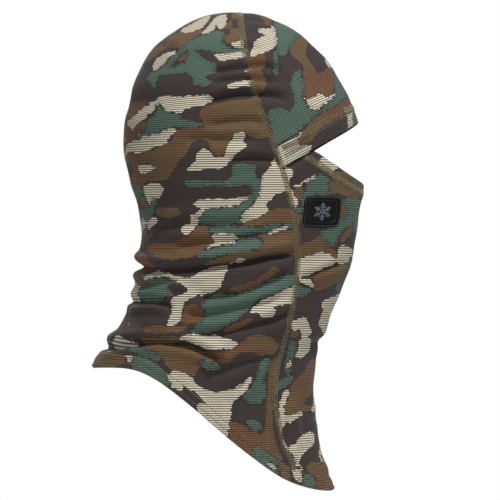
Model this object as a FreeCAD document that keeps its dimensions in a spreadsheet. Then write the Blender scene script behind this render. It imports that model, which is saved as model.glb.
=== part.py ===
import FreeCAD, Part
import math
import os
import Sketcher

# A hinged balaclava in rib-knit fleece, standing as it does on a head that looks along -Y, with the
# wearer's left on +X and +Z up. The origin is midway between the ears. "Forward" is the distance
# towards the face (-Y) and "height" the distance above the ears. The hood is sewn from flat panels
# butted at flatlock seams; the face mask is a second layer that slides down under the chin.

SIZES = [
    # name, millimetres, meaning
    ("reach", 400, "how far the trimming blocks run past the hood"),
    ("crown_height", 133.5, "top of the crown"),
    ("dome_base_height", 24, "level where the head is longest and widest"),
    ("head_front", 100, "forehead, forward of the ears"),
    ("head_back", 102, "back of the head, behind the ears"),
    ("head_half_width", 77.5, "side of the head from the middle"),
    ("crown_lean", 5.5, "how far the crown leans back, halfway up the dome"),
    ("crown_taper", 2.5, "how far the dome is drawn in front and back, halfway up"),
    # sections below the dome: how deep they lie, and how far in they are from the dome's own outline
    ("nose_level", 15, "first section below the ears"),
    ("nose_front_inset", -2.5, "the mask stands a little proud of the forehead"),
    ("nose_back_inset", 7, ""),
    ("nose_side_inset", 0.3, ""),
    ("mouth_level", 46, ""),
    ("mouth_front_inset", 2, ""),
    ("mouth_back_inset", 16, ""),
    ("mouth_side_inset", 0.8, ""),
    ("jaw_level", 73, ""),
    ("jaw_front_inset", 7, ""),
    ("jaw_back_inset", 12, ""),
    ("jaw_side_inset", 1.2, ""),
    ("chin_level", 107, ""),
    ("chin_front_inset", 18, ""),
    ("chin_back_inset", 6, ""),
    ("chin_side_inset", 1.5, ""),
    ("throat_level", 141, ""),
    ("throat_front_inset", 32, ""),
    ("throat_back_inset", -9, "the neck spreads towards the shoulders"),
    ("throat_side_inset", 2, ""),
    ("nape_level", 165, ""),
    ("nape_front_inset", 39, ""),
    ("nape_back_inset", -25, ""),
    ("nape_side_inset", 3.5, ""),
    ("neck_level", 210, ""),
    ("neck_front_inset", 39, ""),
    ("neck_back_inset", -28, ""),
    ("neck_side_inset", 7.5, ""),
    ("collar_level", 245, ""),
    ("collar_front_inset", 32, ""),
    ("collar_back_inset", -18, ""),
    ("collar_side_inset", 12.5, ""),
    ("foot_level", 290, "below the lowest point of the hem"),
    ("foot_front_inset", 14, ""),
    ("foot_back_inset", -2, ""),
    ("foot_side_inset", 17.5, ""),
    # cloth and thread
    ("fabric_thickness", 0.8, "one layer of cloth"),
    ("layer_gap", 0.12, "between a piece and what it is sewn to"),
    ("butt_gap", 0.1, "between two panels that meet at a flatlock seam"),
    ("thread_height", 0.35, "how far a thread row stands up"),
    ("thread_width", 1.1, "width of one thread row"),
    ("row_spacing", 6, "between the two needle rows of a coverstitch"),
    ("flatlock_width", 6.4, "width of the thread ladder over a seam"),
    ("mask_clearance", 0.45, "between the hood and the mask that slides inside it"),
    # side seam, from the crown down past the temple to the hem
    ("seam_top_forward", -4, ""),
    ("seam_top_height", 150, ""),
    ("seam_crown_forward", -1, ""),
    ("seam_crown_height", 112, ""),
    ("seam_forehead_forward", 5, ""),
    ("seam_forehead_height", 66, ""),
    ("seam_temple_forward", 31.5, ""),
    ("seam_temple_height", 8, ""),
    ("seam_cheek_forward", 45, ""),
    ("seam_cheek_drop", 45, ""),
    ("seam_jaw_forward", 47.5, ""),
    ("seam_jaw_drop", 98, ""),
    ("seam_throat_forward", 29.5, ""),
    ("seam_throat_drop", 154, ""),
    ("seam_neck_forward", 20, ""),
    ("seam_neck_drop", 218, ""),
    ("seam_foot_forward", 64, ""),
    ("seam_foot_drop", 290, ""),
    # edges of the eye opening, both straight when seen from the side
    ("brow_temple_forward", 34, "where the brow edge meets the side seam"),
    ("brow_temple_height", 0.5, ""),
    ("brow_slope", 31, "degrees that the brow edge climbs towards the front"),
    ("brow_hem_width", 18, ""),
    ("mask_temple_forward", 29, "upper corner of the mask, under the brow hem"),
    ("mask_temple_height", 34.5, ""),
    ("mask_slope", 32.3, "degrees that the mask edge falls towards the front"),
    ("mask_hem_width", 12.5, ""),
    ("mask_seam_lap", 1, "mask behind the side seam, inside the side panels"),
    ("mask_parting_drop", 68, "where the neck panel's own cloth begins"),
    ("mask_parting_lap", 8, "mask below the parting, inside the neck panel"),
    # bottom hem, from the back of the neck down over the shoulder to the breast
    ("hem_back_forward", -160, ""),
    ("hem_back_drop", 172, ""),
    ("hem_nape_forward", -115, ""),
    ("hem_nape_drop", 165, ""),
    ("hem_turn_forward", -82, ""),
    ("hem_turn_drop", 163, ""),
    ("hem_shoulder_forward", -30, ""),
    ("hem_shoulder_drop", 210, ""),
    ("hem_collarbone_forward", 25, ""),
    ("hem_collarbone_drop", 256, ""),
    ("hem_breast_forward", 57, ""),
    ("hem_breast_drop", 272, ""),
    ("hem_front_forward", 110, ""),
    ("hem_front_drop", 273, ""),
    ("bottom_hem_width", 11, ""),
    ("hem_lean", 24, "degrees between straight up and the way the bottom hem is turned"),
    # trim
    ("bartack_length", 13, ""),
    ("bartack_width", 5.2, ""),
    ("bartack_edge_margin", 5.2, "from the brow edge to the bartack"),
    ("label_width", 24, ""),
    ("label_length", 32, ""),
    ("label_thickness", 0.25, ""),
    ("label_top_drop", 112, ""),
    ("patch_seam_margin", 3.5, "from the side seam's cheek to the patch"),
    ("patch_width", 34, "as seen from the side"),
    ("patch_height", 25.5, ""),
    ("patch_top_drop", 23.5, ""),
    ("patch_corner", 4, ""),
    ("patch_thickness", 1.0, ""),
    ("patch_relief", 0.4, "how far the border and the emblem stand up"),
    ("patch_stitch_inset", 1.2, ""),
    ("patch_border_inset", 3.0, ""),
    ("patch_line_width", 0.9, "border and stitch line"),
    ("emblem_radius", 7.5, "six-armed snow crystal"),
    ("emblem_arm_width", 1.5, ""),
    ("emblem_barb_start", 3.0, ""),
    ("emblem_barb_rise", 1.6, ""),
    ("emblem_barb_spread", 2.3, ""),
]

# How deep a surface lies inside the hood's outer face; a negative depth stands proud of it.
PANEL_IN = "Sizes.fabric_thickness"
FOLD_OUT = "(Sizes.fabric_thickness + Sizes.layer_gap)"
FOLD_IN = "(2 * Sizes.fabric_thickness + Sizes.layer_gap)"
THREAD_IN = "(-Sizes.layer_gap)"
THREAD_OUT = "(-Sizes.layer_gap - Sizes.thread_height)"
LABEL_OUT = "(Sizes.fabric_thickness + Sizes.layer_gap)"
LABEL_IN = "(Sizes.fabric_thickness + Sizes.layer_gap + Sizes.label_thickness)"
MASK_THREAD_OUT = f"({FOLD_IN} + Sizes.mask_clearance)"
MASK_THREAD_IN = f"({MASK_THREAD_OUT} + Sizes.thread_height)"
MASK_OUT = f"({MASK_THREAD_IN} + Sizes.layer_gap)"
MASK_IN = f"({MASK_OUT} + Sizes.fabric_thickness)"
MASK_FOLD_OUT = f"({MASK_IN} + Sizes.layer_gap)"
MASK_FOLD_IN = f"({MASK_FOLD_OUT} + Sizes.fabric_thickness)"
PATCH_IN = MASK_THREAD_IN
PATCH_OUT = f"({PATCH_IN} - Sizes.patch_thickness)"
RELIEF_IN = f"({PATCH_OUT} - Sizes.layer_gap)"
RELIEF_OUT = f"({RELIEF_IN} - Sizes.patch_relief)"

SECTIONS = ["nose", "mouth", "jaw", "chin", "throat", "nape", "neck", "collar", "foot"]
DOME_ANGLES = [84, 72, 60, 48, 36, 24, 12, 0]
SIDE_ON = FreeCAD.Rotation(FreeCAD.Vector(0, -1, 0), FreeCAD.Vector(0, 0, 1),
                           FreeCAD.Vector(-1, 0, 0), "XYZ")
SIDES = {"left": 1, "right": -1}
SEAM_TO_FRONT = -90
CURVE_DEGREE = 3
POLE_MARK = 2.0
FIRST_STEP = FreeCAD.Vector(30, 17, 0)
ARC_START = 10.0
FULL_TURN = 360
CRYSTAL_ARMS = 6
PARTS_FOLDER = "parts"

doc = FreeCAD.newDocument("Balaclava")
forms = {}


def fill_sheet():
    sheet = doc.addObject("Spreadsheet::Sheet", "Sizes")
    for row, (alias, size, meaning) in enumerate(SIZES, start=1):
        sheet.set(f"A{row}", alias)
        sheet.set(f"B{row}", str(size))
        sheet.set(f"C{row}", meaning)
        sheet.setAlias(f"B{row}", alias)
    doc.recompute()
    return sheet


def add(kind, name, **bound):
    """A document object whose properties are bound to expressions; "__" stands for a dot."""
    item = doc.addObject(kind, name)
    for prop, expression in bound.items():
        item.setExpression(prop.replace("__", "."), str(expression))
    return item


def boolean(kind, name, base, tool):
    item = doc.addObject(kind, name)
    item.Base = base
    item.Tool = tool
    return item


def common(name, base, tool):
    return boolean("Part::Common", name, base, tool)


def cut(name, base, tool):
    return boolean("Part::Cut", name, base, tool)


# ---- head form: a ruled loft through ellipses, domed at the top ---------------------------------

def ellipse(name, level, half_depth, half_width):
    item = add("Part::Ellipse", name, MajorRadius=half_depth, MinorRadius=half_width,
               Placement__Base__z=level)
    item.Placement = FreeCAD.Placement(
        FreeCAD.Vector(), FreeCAD.Rotation(FreeCAD.Vector(0, 0, 1), SEAM_TO_FRONT))
    return item


def dome_ring(name, angle, depth):
    """A section of the leaning, tapered dome of the crown, this many degrees up from its base."""
    half_depth = f"((Sizes.head_front + Sizes.head_back) / 2 - {depth})"
    rise = f"(Sizes.crown_height - Sizes.dome_base_height - {depth})"
    ring = ellipse(name, f"Sizes.dome_base_height + {rise} * sin({angle})",
                   f"{half_depth} * cos({angle}) - Sizes.crown_taper * sin(2 * {angle})",
                   f"(Sizes.head_half_width - {depth}) * cos({angle})")
    ring.setExpression("Placement.Base.y", "(Sizes.head_back - Sizes.head_front) / 2"
                                           f" + Sizes.crown_lean * sin(2 * {angle})")
    return ring


def lower_ring(name, section, depth):
    """A section below the dome, set in from the dome's outline by its own insets."""
    front = f"(Sizes.head_front - Sizes.{section}_front_inset)"
    back = f"(Sizes.head_back - Sizes.{section}_back_inset)"
    ring = ellipse(name, f"-Sizes.{section}_level", f"({front} + {back}) / 2 - {depth}",
                   f"Sizes.head_half_width - Sizes.{section}_side_inset - {depth}")
    ring.setExpression("Placement.Base.y", f"({back} - {front}) / 2")
    return ring


def head_form(depth):
    """The solid inside the surface that lies this deep; each depth is built once."""
    if depth in forms:
        return forms[depth]
    name = f"Form{len(forms) + 1}"
    rings = [dome_ring(f"{name}Dome{angle}", angle, depth) for angle in DOME_ANGLES]
    rings += [lower_ring(f"{name}{section.capitalize()}", section, depth) for section in SECTIONS]
    forms[depth] = doc.addObject("Part::Loft", name)
    forms[depth].Sections = rings
    forms[depth].Solid = True
    forms[depth].Ruled = True
    return forms[depth]


def layer(name, outer_depth, inner_depth):
    return cut(name, head_form(outer_depth), head_form(inner_depth))


# ---- side-view outlines and the blocks made from them ------------------------------------------

def side_sketch(name):
    """An empty sketch seen from the wearer's right: its x is forward and its y is height."""
    sketch = doc.addObject("Sketcher::SketchObject", name)
    sketch.Placement = FreeCAD.Placement(FreeCAD.Vector(), SIDE_ON)
    return sketch


def pin(sketch, geometry, point, forward, height):
    """Fixes one point of a side-view sketch at expressions for its place."""
    spot = sketch.getPoint(geometry, point)
    for kind, start, expression in (("DistanceX", spot.x, forward), ("DistanceY", spot.y, height)):
        number = sketch.addConstraint(Sketcher.Constraint(kind, -1, 1, geometry, point, start))
        sketch.setExpression(f"Constraints[{number}]", expression)


def close_with_lines(sketch, first, last, corners):
    """Straight lines from the end of geometry `last` through the corners to the start of `first`."""
    for forward, height in corners:
        begin = sketch.getPoint(last, 2)
        line = sketch.addGeometry(Part.LineSegment(begin, begin + FIRST_STEP))
        sketch.addConstraint(Sketcher.Constraint("Coincident", last, 2, line, 1))
        pin(sketch, line, 2, forward, height)
        last = line
    line = sketch.addGeometry(Part.LineSegment(sketch.getPoint(last, 2), sketch.getPoint(first, 1)))
    sketch.addConstraint(Sketcher.Constraint("Coincident", last, 2, line, 1))
    sketch.addConstraint(Sketcher.Constraint("Coincident", line, 2, first, 1))


def draw_polygon(sketch, corners):
    """A closed outline with straight sides; corners are pairs of expressions."""
    sketch.addGeometry(Part.LineSegment(FIRST_STEP, 2 * FIRST_STEP))
    pin(sketch, 0, 1, *corners[0])
    pin(sketch, 0, 2, *corners[1])
    close_with_lines(sketch, 0, 0, corners[2:])
    return sketch


def curved_outline(name, poles, corners):
    """A closed side-view outline: a smooth curve given by its poles, then straight lines."""
    sketch = side_sketch(name)
    spots = [index * FIRST_STEP for index in range(len(poles))]
    spans = len(poles) - CURVE_DEGREE
    ends = [CURVE_DEGREE + 1]
    curve = Part.BSplineCurve()
    curve.buildFromPolesMultsKnots(spots, ends + [1] * (spans - 1) + ends, list(range(spans + 1)),
                                   False, CURVE_DEGREE)
    sketch.addGeometry(curve)
    for index, (forward, height) in enumerate(poles):
        circle = Part.Circle(spots[index], FreeCAD.Vector(0, 0, 1), POLE_MARK)
        mark = sketch.addGeometry(circle, True)
        sketch.addConstraint(Sketcher.Constraint("Weight", mark, 1.0))
        sketch.addConstraint(Sketcher.Constraint(
            "InternalAlignment:Sketcher::BSplineControlPoint", mark, 3, 0, index))
        pin(sketch, mark, 3, forward, height)
    close_with_lines(sketch, 0, 0, corners)
    return sketch


def beyond_line(name, forward, height, slope, sign):
    """Everything above (sign "") or below (sign "-") a straight line through a point."""
    along = (f"Sizes.reach * cos({slope})", f"Sizes.reach * sin({slope})")
    away = (f"-({sign}Sizes.reach) * sin({slope})", f"({sign}Sizes.reach) * cos({slope})")
    return draw_polygon(side_sketch(name), [
        (f"{forward} - {along[0]}", f"{height} - {along[1]}"),
        (f"{forward} + {along[0]}", f"{height} + {along[1]}"),
        (f"{forward} + {along[0]} + {away[0]}", f"{height} + {along[1]} + {away[1]}"),
        (f"{forward} - {along[0]} + {away[0]}", f"{height} - {along[1]} + {away[1]}")])


def rounded_rectangle(name, rear, top, width, height, radius):
    """A side-view rectangle with rounded corners: four arcs joined by tangent lines."""
    sketch = side_sketch(name)
    front, bottom = f"({rear} + {width})", f"({top} - {height})"
    corners = [(f"{front} - {radius}", f"{top} - {radius}"), (f"{rear} + {radius}", f"{top} - {radius}"),
               (f"{rear} + {radius}", f"{bottom} + {radius}"),
               (f"{front} - {radius}", f"{bottom} + {radius}")]
    spots = [(1, 1), (-1, 1), (-1, -1), (1, -1)]
    for index, (across_way, up_way) in enumerate(spots):
        middle = FreeCAD.Vector(across_way * ARC_START, up_way * ARC_START, 0)
        circle = Part.Circle(middle, FreeCAD.Vector(0, 0, 1), POLE_MARK)
        quarter = math.pi / 2
        sketch.addGeometry(Part.ArcOfCircle(circle, index * quarter, (index + 1) * quarter))
        pin(sketch, index, 3, *corners[index])
        number = sketch.addConstraint(Sketcher.Constraint("Radius", index, POLE_MARK))
        sketch.setExpression(f"Constraints[{number}]", radius)
    for index in range(len(spots)):
        after = (index + 1) % len(spots)
        line = sketch.addGeometry(Part.LineSegment(sketch.getPoint(index, 2),
                                                   sketch.getPoint(after, 1)))
        sketch.addConstraint(Sketcher.Constraint("Tangent", index, 2, line, 1))
        sketch.addConstraint(Sketcher.Constraint("Tangent", line, 2, after, 1))
    return sketch


def block(name, sketch, shift=("0", "0"), side="both"):
    """A side-view outline run across the hood, or over one side of it, and shifted if need be."""
    item = add("Part::Extrusion", name,
               Placement__Base__y=f"-({shift[0]})", Placement__Base__z=shift[1])
    item.Base = sketch
    item.DirMode = "Custom"
    item.Dir = FreeCAD.Vector(1, 0, 0)
    item.Solid = True
    if side != "right":
        item.setExpression("LengthFwd", "Sizes.reach")
    if side != "left":
        item.setExpression("LengthRev", "Sizes.reach")
    if side != "both":
        item.setExpression("Placement.Base.x", f"{SIDES[side]} * Sizes.butt_gap / 2")
    return item


def box(name, corner, size):
    return add("Part::Box", name, Length=size[0], Width=size[1], Height=size[2],
               Placement__Base__x=corner[0], Placement__Base__y=corner[1],
               Placement__Base__z=corner[2])


def across(slope, sign, distance):
    """The shift that carries an edge this far across its own line, above or below it."""
    return (f"-({sign}({distance})) * sin({slope})", f"({sign}({distance})) * cos({slope})")


def region(name, kept, removed=()):
    """Where all the kept blocks overlap, less the removed ones."""
    steps = [(common, item) for item in kept[1:]] + [(cut, item) for item in removed]
    result = kept[0]
    for number, (trim, item) in enumerate(steps, start=1):
        result = trim(name if number == len(steps) else f"{name}Step{number}", result, item)
    return result


def strip(name, outline, shift_by, start, width):
    """Everything between two distances from an edge."""
    return cut(name, block(f"{name}Near", outline, shift_by(start)),
               block(f"{name}Far", outline, shift_by(f"{start} + {width}")))


def stitch_rows(label, outline, shift_by, hem_width, cloth, within=()):
    """The two thread rows of a hem: one at its raw edge, the other nearer the fold."""
    rows = []
    for number, back in ((1, "0"), (2, "Sizes.row_spacing")):
        run = strip(f"{label}_strip_{number}", outline, shift_by,
                    f"{hem_width} - {back} - Sizes.thread_width", "Sizes.thread_width")
        rows.append(common(f"{label}_row_{number}", cloth,
                           region(f"{label}_run_{number}", [run, *within])))
    return boolean("Part::Fuse", label, *rows)


fill_sheet()

# ---- trimming blocks ---------------------------------------------------------------------------

SEAM_POLES = ["top", "crown", "forehead", "temple", "cheek", "jaw", "throat", "neck", "foot"]
ABOVE_EARS = ["top", "crown", "forehead", "temple"]
HEM_POLES = ["back", "nape", "turn", "shoulder", "collarbone", "breast", "front"]

seam_outline = curved_outline(
    "SeamOutline",
    [(f"Sizes.seam_{pole}_forward",
      f"Sizes.seam_{pole}_height" if pole in ABOVE_EARS else f"-Sizes.seam_{pole}_drop")
     for pole in SEAM_POLES],
    [("Sizes.reach", "-Sizes.seam_foot_drop"), ("Sizes.reach", "Sizes.seam_top_height")])
hem_outline = curved_outline(
    "HemOutline", [(f"Sizes.hem_{pole}_forward", f"-Sizes.hem_{pole}_drop") for pole in HEM_POLES],
    [("Sizes.reach", "-Sizes.hem_front_drop"), ("Sizes.reach", "Sizes.reach"),
     ("-Sizes.reach", "Sizes.reach"), ("-Sizes.reach", "-Sizes.hem_back_drop")])
brow_outline = beyond_line("BrowOutline", "Sizes.brow_temple_forward", "Sizes.brow_temple_height",
                           "Sizes.brow_slope", "")
mask_outline = beyond_line("MaskOutline", "Sizes.mask_temple_forward", "Sizes.mask_temple_height",
                           "-Sizes.mask_slope", "-")


def from_seam(distance):
    return (distance, "0")


def from_brow(distance):
    return across("Sizes.brow_slope", "", distance)


def from_mask_edge(distance):
    return across("-Sizes.mask_slope", "-", distance)


def from_hem(distance):
    return (f"({distance}) * sin(Sizes.hem_lean)", f"({distance}) * cos(Sizes.hem_lean)")


above_hem = block("AboveHem", hem_outline)
above_fold = block("AboveFold", hem_outline, from_hem("Sizes.bottom_hem_width + Sizes.butt_gap"))
above_brow = block("AboveBrow", brow_outline)
before_seam = block("BeforeSeam", seam_outline)
before_butt = block("BeforeButt", seam_outline, from_seam("Sizes.butt_gap"))
halves = {
    "left": box("LeftHalf", ("Sizes.butt_gap / 2", "-Sizes.reach", "-Sizes.reach"),
                ("Sizes.reach", "2 * Sizes.reach", "2 * Sizes.reach")),
    "right": box("RightHalf", ("-Sizes.butt_gap / 2 - Sizes.reach", "-Sizes.reach",
                               "-Sizes.reach"),
                 ("Sizes.reach", "2 * Sizes.reach", "2 * Sizes.reach")),
}

# ---- hood panels -------------------------------------------------------------------------------

panel_layer = layer("PanelLayer", "0", PANEL_IN)
below_parting = box("BelowParting", ("-Sizes.reach", "-Sizes.reach",
                                     "-Sizes.reach - Sizes.mask_parting_drop"),
                    ("2 * Sizes.reach", "2 * Sizes.reach", "Sizes.reach"))
for side in SIDES:
    common(f"{side}_side_panel", panel_layer,
           region(f"{side}SideRegion", [halves[side], above_hem], [before_seam]))
common("forehead_panel", panel_layer, region("ForeheadRegion", [before_butt, above_brow]))
common("neck_front_panel", panel_layer,
       region("NeckFrontRegion", [before_butt, above_hem, below_parting]))

# ---- folded hems of the hood, inside the panels ------------------------------------------------

fold_layer = layer("FoldLayer", FOLD_OUT, FOLD_IN)
brow_strip = strip("BrowStrip", brow_outline, from_brow, "0", "Sizes.brow_hem_width")
hem_strip = strip("HemStrip", hem_outline, from_hem, "0", "Sizes.bottom_hem_width")
common("brow_hem", fold_layer, region("BrowHemRegion", [brow_strip, before_butt]))
common("bottom_hem_front", fold_layer, region("HemFrontRegion", [hem_strip, before_butt]))
for side in SIDES:
    common(f"bottom_hem_{side}", fold_layer,
           region(f"{side}HemRegion", [hem_strip, halves[side]], [before_seam]))

# ---- threads on the hood -----------------------------------------------------------------------

HALF_FLATLOCK = "Sizes.flatlock_width / 2"
CLEAR_OF_FLATLOCK = f"{HALF_FLATLOCK} + Sizes.butt_gap"
thread_layer = layer("ThreadLayer", THREAD_OUT, THREAD_IN)
before_flatlock = block("BeforeFlatlock", seam_outline, from_seam(CLEAR_OF_FLATLOCK))
behind_flatlock = block("BehindFlatlock", seam_outline, from_seam(f"-({CLEAR_OF_FLATLOCK})"))
back_band = box("BackBand", (f"-{HALF_FLATLOCK}", "-Sizes.reach", "-Sizes.reach"),
                ("Sizes.flatlock_width", "2 * Sizes.reach", "2 * Sizes.reach"))
front_band = strip("FrontBand", seam_outline, from_seam, f"-{HALF_FLATLOCK}",
                   "Sizes.flatlock_width")
for side in SIDES:
    common(f"{side}_front_seam", thread_layer,
           region(f"{side}SeamRegion", [front_band, above_fold, halves[side]]))
common("centre_back_seam", thread_layer,
       region("BackSeamRegion", [back_band, above_fold], [behind_flatlock]))
stitch_rows("brow_coverstitch", brow_outline, from_brow, "Sizes.brow_hem_width", thread_layer,
            [before_flatlock])
stitch_rows("bottom_coverstitch", hem_outline, from_hem, "Sizes.bottom_hem_width", thread_layer)
tack_strip = strip("TackStrip", brow_outline, from_brow, "Sizes.bartack_edge_margin",
                   "Sizes.bartack_width")
before_tacks = block("BeforeTacks", seam_outline,
                     from_seam(f"{CLEAR_OF_FLATLOCK} + Sizes.bartack_length"))
common("temple_bartacks", thread_layer,
       region("TackRegion", [tack_strip, before_flatlock], [before_tacks]))

# ---- care label, blank, inside the centre back -------------------------------------------------

common("care_label", layer("LabelLayer", LABEL_OUT, LABEL_IN),
       box("LabelBox", ("-Sizes.label_width / 2", "0",
                        "-Sizes.label_top_drop - Sizes.label_length"),
           ("Sizes.label_width", "Sizes.reach", "Sizes.label_length")))

# ---- the sliding mask --------------------------------------------------------------------------

inside_seam = block("InsideSeam", seam_outline, from_seam("-Sizes.mask_seam_lap"))
below_mask_edge = block("BelowMaskEdge", mask_outline)
above_mask_end = box("AboveMaskEnd", ("-Sizes.reach", "-Sizes.reach",
                                      "-Sizes.mask_parting_drop - Sizes.mask_parting_lap"),
                     ("2 * Sizes.reach", "2 * Sizes.reach", "Sizes.reach"))
common("mask_panel", layer("MaskLayer", MASK_OUT, MASK_IN),
       region("MaskRegion", [inside_seam, below_mask_edge, above_mask_end]))
common("mask_hem", layer("MaskFoldLayer", MASK_FOLD_OUT, MASK_FOLD_IN),
       region("MaskHemRegion", [strip("MaskStrip", mask_outline, from_mask_edge, "0",
                                      "Sizes.mask_hem_width"), inside_seam]))
stitch_rows("mask_coverstitch", mask_outline, from_mask_edge, "Sizes.mask_hem_width",
            layer("MaskThreadLayer", MASK_THREAD_OUT, MASK_THREAD_IN), [inside_seam])

# ---- moulded patch on the wearer's right cheek --------------------------------------------------

PATCH_REAR = "(Sizes.seam_cheek_forward + Sizes.patch_seam_margin)"
relief_layer = layer("ReliefLayer", RELIEF_OUT, RELIEF_IN)


def patch_block(name, inset):
    """The patch's rounded outline, drawn in by an inset and run over the right side of the hood."""
    outline = rounded_rectangle(
        f"{name}Outline", f"({PATCH_REAR} + {inset})", f"(-Sizes.patch_top_drop - {inset})",
        f"(Sizes.patch_width - 2 * {inset})", f"(Sizes.patch_height - 2 * {inset})",
        f"(Sizes.patch_corner - {inset})")
    return block(name, outline, side="right")


def patch_ring(label, inset):
    """A thin raised line that runs round the patch."""
    return common(label, relief_layer,
                  cut(f"{label}_region", patch_block(f"{label}_outer", inset),
                      patch_block(f"{label}_inner", f"({inset} + Sizes.patch_line_width)")))


def snow_crystal(name):
    """Six barbed arms about the middle of the patch, as one prism over the right side."""
    body = doc.addObject("PartDesign::Body", name)
    axes = {feature.Role: feature for feature in body.Origin.OriginFeatures}
    sketch = body.newObject("Sketcher::SketchObject", f"{name}Arm")
    sketch.AttachmentSupport = [(axes["YZ_Plane"], "")]
    sketch.MapMode = "FlatFace"
    arm, barb = "(Sizes.emblem_arm_width / 2)", "Sizes.emblem_barb_spread"
    start, rise, thick = "Sizes.emblem_barb_start", "Sizes.emblem_barb_rise", "Sizes.emblem_arm_width"
    half = [(arm, "0"), (arm, start), (barb, f"{start} + {rise}"),
            (barb, f"{start} + {rise} + {thick}"), (arm, f"{start} + {thick}"),
            (arm, "Sizes.emblem_radius")]
    other_half = [(f"-{across_arm}", along_arm) for across_arm, along_arm in reversed(half)]
    draw_polygon(sketch, half + other_half)
    pad = body.newObject("PartDesign::Pad", f"{name}Pad")
    pad.Profile = sketch
    pad.Reversed = True
    pad.setExpression("Length", "Sizes.reach")
    arms = body.newObject("PartDesign::PolarPattern", f"{name}Arms")
    arms.Originals = [pad]
    arms.Axis = (axes["X_Axis"], [""])
    arms.Angle = FULL_TURN
    arms.Occurrences = CRYSTAL_ARMS
    body.Tip = arms
    body.setExpression("Placement.Base.y", f"-{PATCH_REAR} - Sizes.patch_width / 2")
    body.setExpression("Placement.Base.z", "-Sizes.patch_top_drop - Sizes.patch_height / 2")
    return body


common("patch_base", layer("PatchLayer", PATCH_OUT, PATCH_IN), patch_block("PatchBlock", "0"))
patch_ring("patch_stitches", "Sizes.patch_stitch_inset")
patch_ring("patch_border", "Sizes.patch_border_inset")
common("patch_emblem", relief_layer, snow_crystal("Crystal"))

# ---- check and write ---------------------------------------------------------------------------

NODES = ["right_side_panel", "left_side_panel", "forehead_panel", "neck_front_panel", "brow_hem",
         "bottom_hem_front", "bottom_hem_left", "bottom_hem_right", "centre_back_seam",
         "left_front_seam", "right_front_seam", "brow_coverstitch", "bottom_coverstitch",
         "temple_bartacks", "care_label", "mask_panel", "mask_hem", "mask_coverstitch",
         "patch_base", "patch_stitches", "patch_border", "patch_emblem"]

doc.recompute()
failed = [item.Name for item in doc.Objects if "Invalid" in item.State or "Error" in item.State]
if failed:
    raise RuntimeError(f"not rebuilt: {failed}")
os.makedirs(PARTS_FOLDER, exist_ok=True)
for node in NODES:
    shape = doc.getObject(node).Shape
    if shape.isNull() or not shape.isValid() or not shape.Solids:
        raise RuntimeError(f"{node} has no valid solid")
    shape.exportStep(f"{PARTS_FOLDER}/{node}.step")
    print(f"{node}: {len(shape.Solids)} solids, {shape.Volume:.0f} cubic millimetres")
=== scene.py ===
# %% [markdown]
# # A rib-knit balaclava with a pull-down face mask
#
# The hood is sewn from flat cuts of printed fleece: two side panels, a forehead panel and one long
# front panel. They meet at flat ladder-stitched seams, and every free edge is a folded hem held by
# two rows of thread. A small moulded patch is sewn on the right cheek.
#
# Everything here is built on one smooth surface, the shape that a head gives the cloth. Panels,
# folds, threads and patch are all placed on it by the same two coordinates, so they always touch.

# %% Load the frame
import math
import bpy
import numpy as np
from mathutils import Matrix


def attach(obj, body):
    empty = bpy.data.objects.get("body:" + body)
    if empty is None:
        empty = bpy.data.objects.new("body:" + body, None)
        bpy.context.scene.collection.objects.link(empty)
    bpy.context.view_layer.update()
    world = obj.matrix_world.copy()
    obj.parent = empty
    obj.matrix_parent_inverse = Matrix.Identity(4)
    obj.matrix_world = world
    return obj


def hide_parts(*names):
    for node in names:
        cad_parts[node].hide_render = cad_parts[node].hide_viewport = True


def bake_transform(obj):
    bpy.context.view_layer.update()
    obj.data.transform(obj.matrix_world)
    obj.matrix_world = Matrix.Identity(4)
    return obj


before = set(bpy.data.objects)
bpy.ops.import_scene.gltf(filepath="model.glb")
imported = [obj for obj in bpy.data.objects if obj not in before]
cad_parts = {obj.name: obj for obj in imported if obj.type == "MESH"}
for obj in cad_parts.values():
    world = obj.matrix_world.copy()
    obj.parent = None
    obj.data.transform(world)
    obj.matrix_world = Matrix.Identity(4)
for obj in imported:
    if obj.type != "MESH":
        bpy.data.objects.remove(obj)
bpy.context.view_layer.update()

MM = 0.001

# %% [markdown]
# ## The shape of the head
#
# Each level of the hood is an ellipse. The table gives its height above the ears, how far it
# reaches forward and back, and its half width, in millimetres. A smooth curve through the rows
# gives every level between them. Above the ears the crown is a dome: a quarter turn takes it from
# the widest ring to the top, and two small tables say how it leans and where it is fuller than a
# plain dome.

# %% Rings from the hem up to the ears
RINGS = np.array([
    (-290, 86, -104, 60), (-245, 68, -120, 65), (-210, 61, -130, 70), (-165, 61, -127, 74),
    (-148, 64, -116, 75), (-134, 71, -106, 75.7), (-121, 76, -100, 76), (-107, 82, -95, 76),
    (-94, 87, -91.5, 76.2), (-80, 91, -90, 76.3), (-66, 94.5, -87, 76.4), (-46, 98, -86, 76.7),
    (-26, 101, -91, 77), (-12, 102.5, -95.5, 77.2), (2, 102, -99, 77.4), (24, 100, -102, 77.5)],
    float)
DOME_BASE = RINGS[-1, 0]
CROWN_RISE, CROWN_DEPTH, CROWN_WIDTH, CROWN_MIDDLE = 109.5, 101.0, 77.5, -1.0
TOP_TURN = 89.4  # degrees up the dome; at 90 the rings would close to a point
TOP = DOME_BASE + CROWN_RISE * math.radians(TOP_TURN)


def smooth_through(x, xs, ys):
    """A smooth curve through the points (xs, ys), read at x."""
    slopes = np.gradient(ys, xs)
    i = np.clip(np.searchsorted(xs, x) - 1, 0, len(xs) - 2)
    h = xs[i + 1] - xs[i]
    t = (x - xs[i]) / h
    return ((1 + 2 * t) * (1 - t) ** 2 * ys[i] + t * (1 - t) ** 2 * h * slopes[i]
            + t * t * (3 - 2 * t) * ys[i + 1] + t * t * (t - 1) * h * slopes[i + 1])


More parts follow.
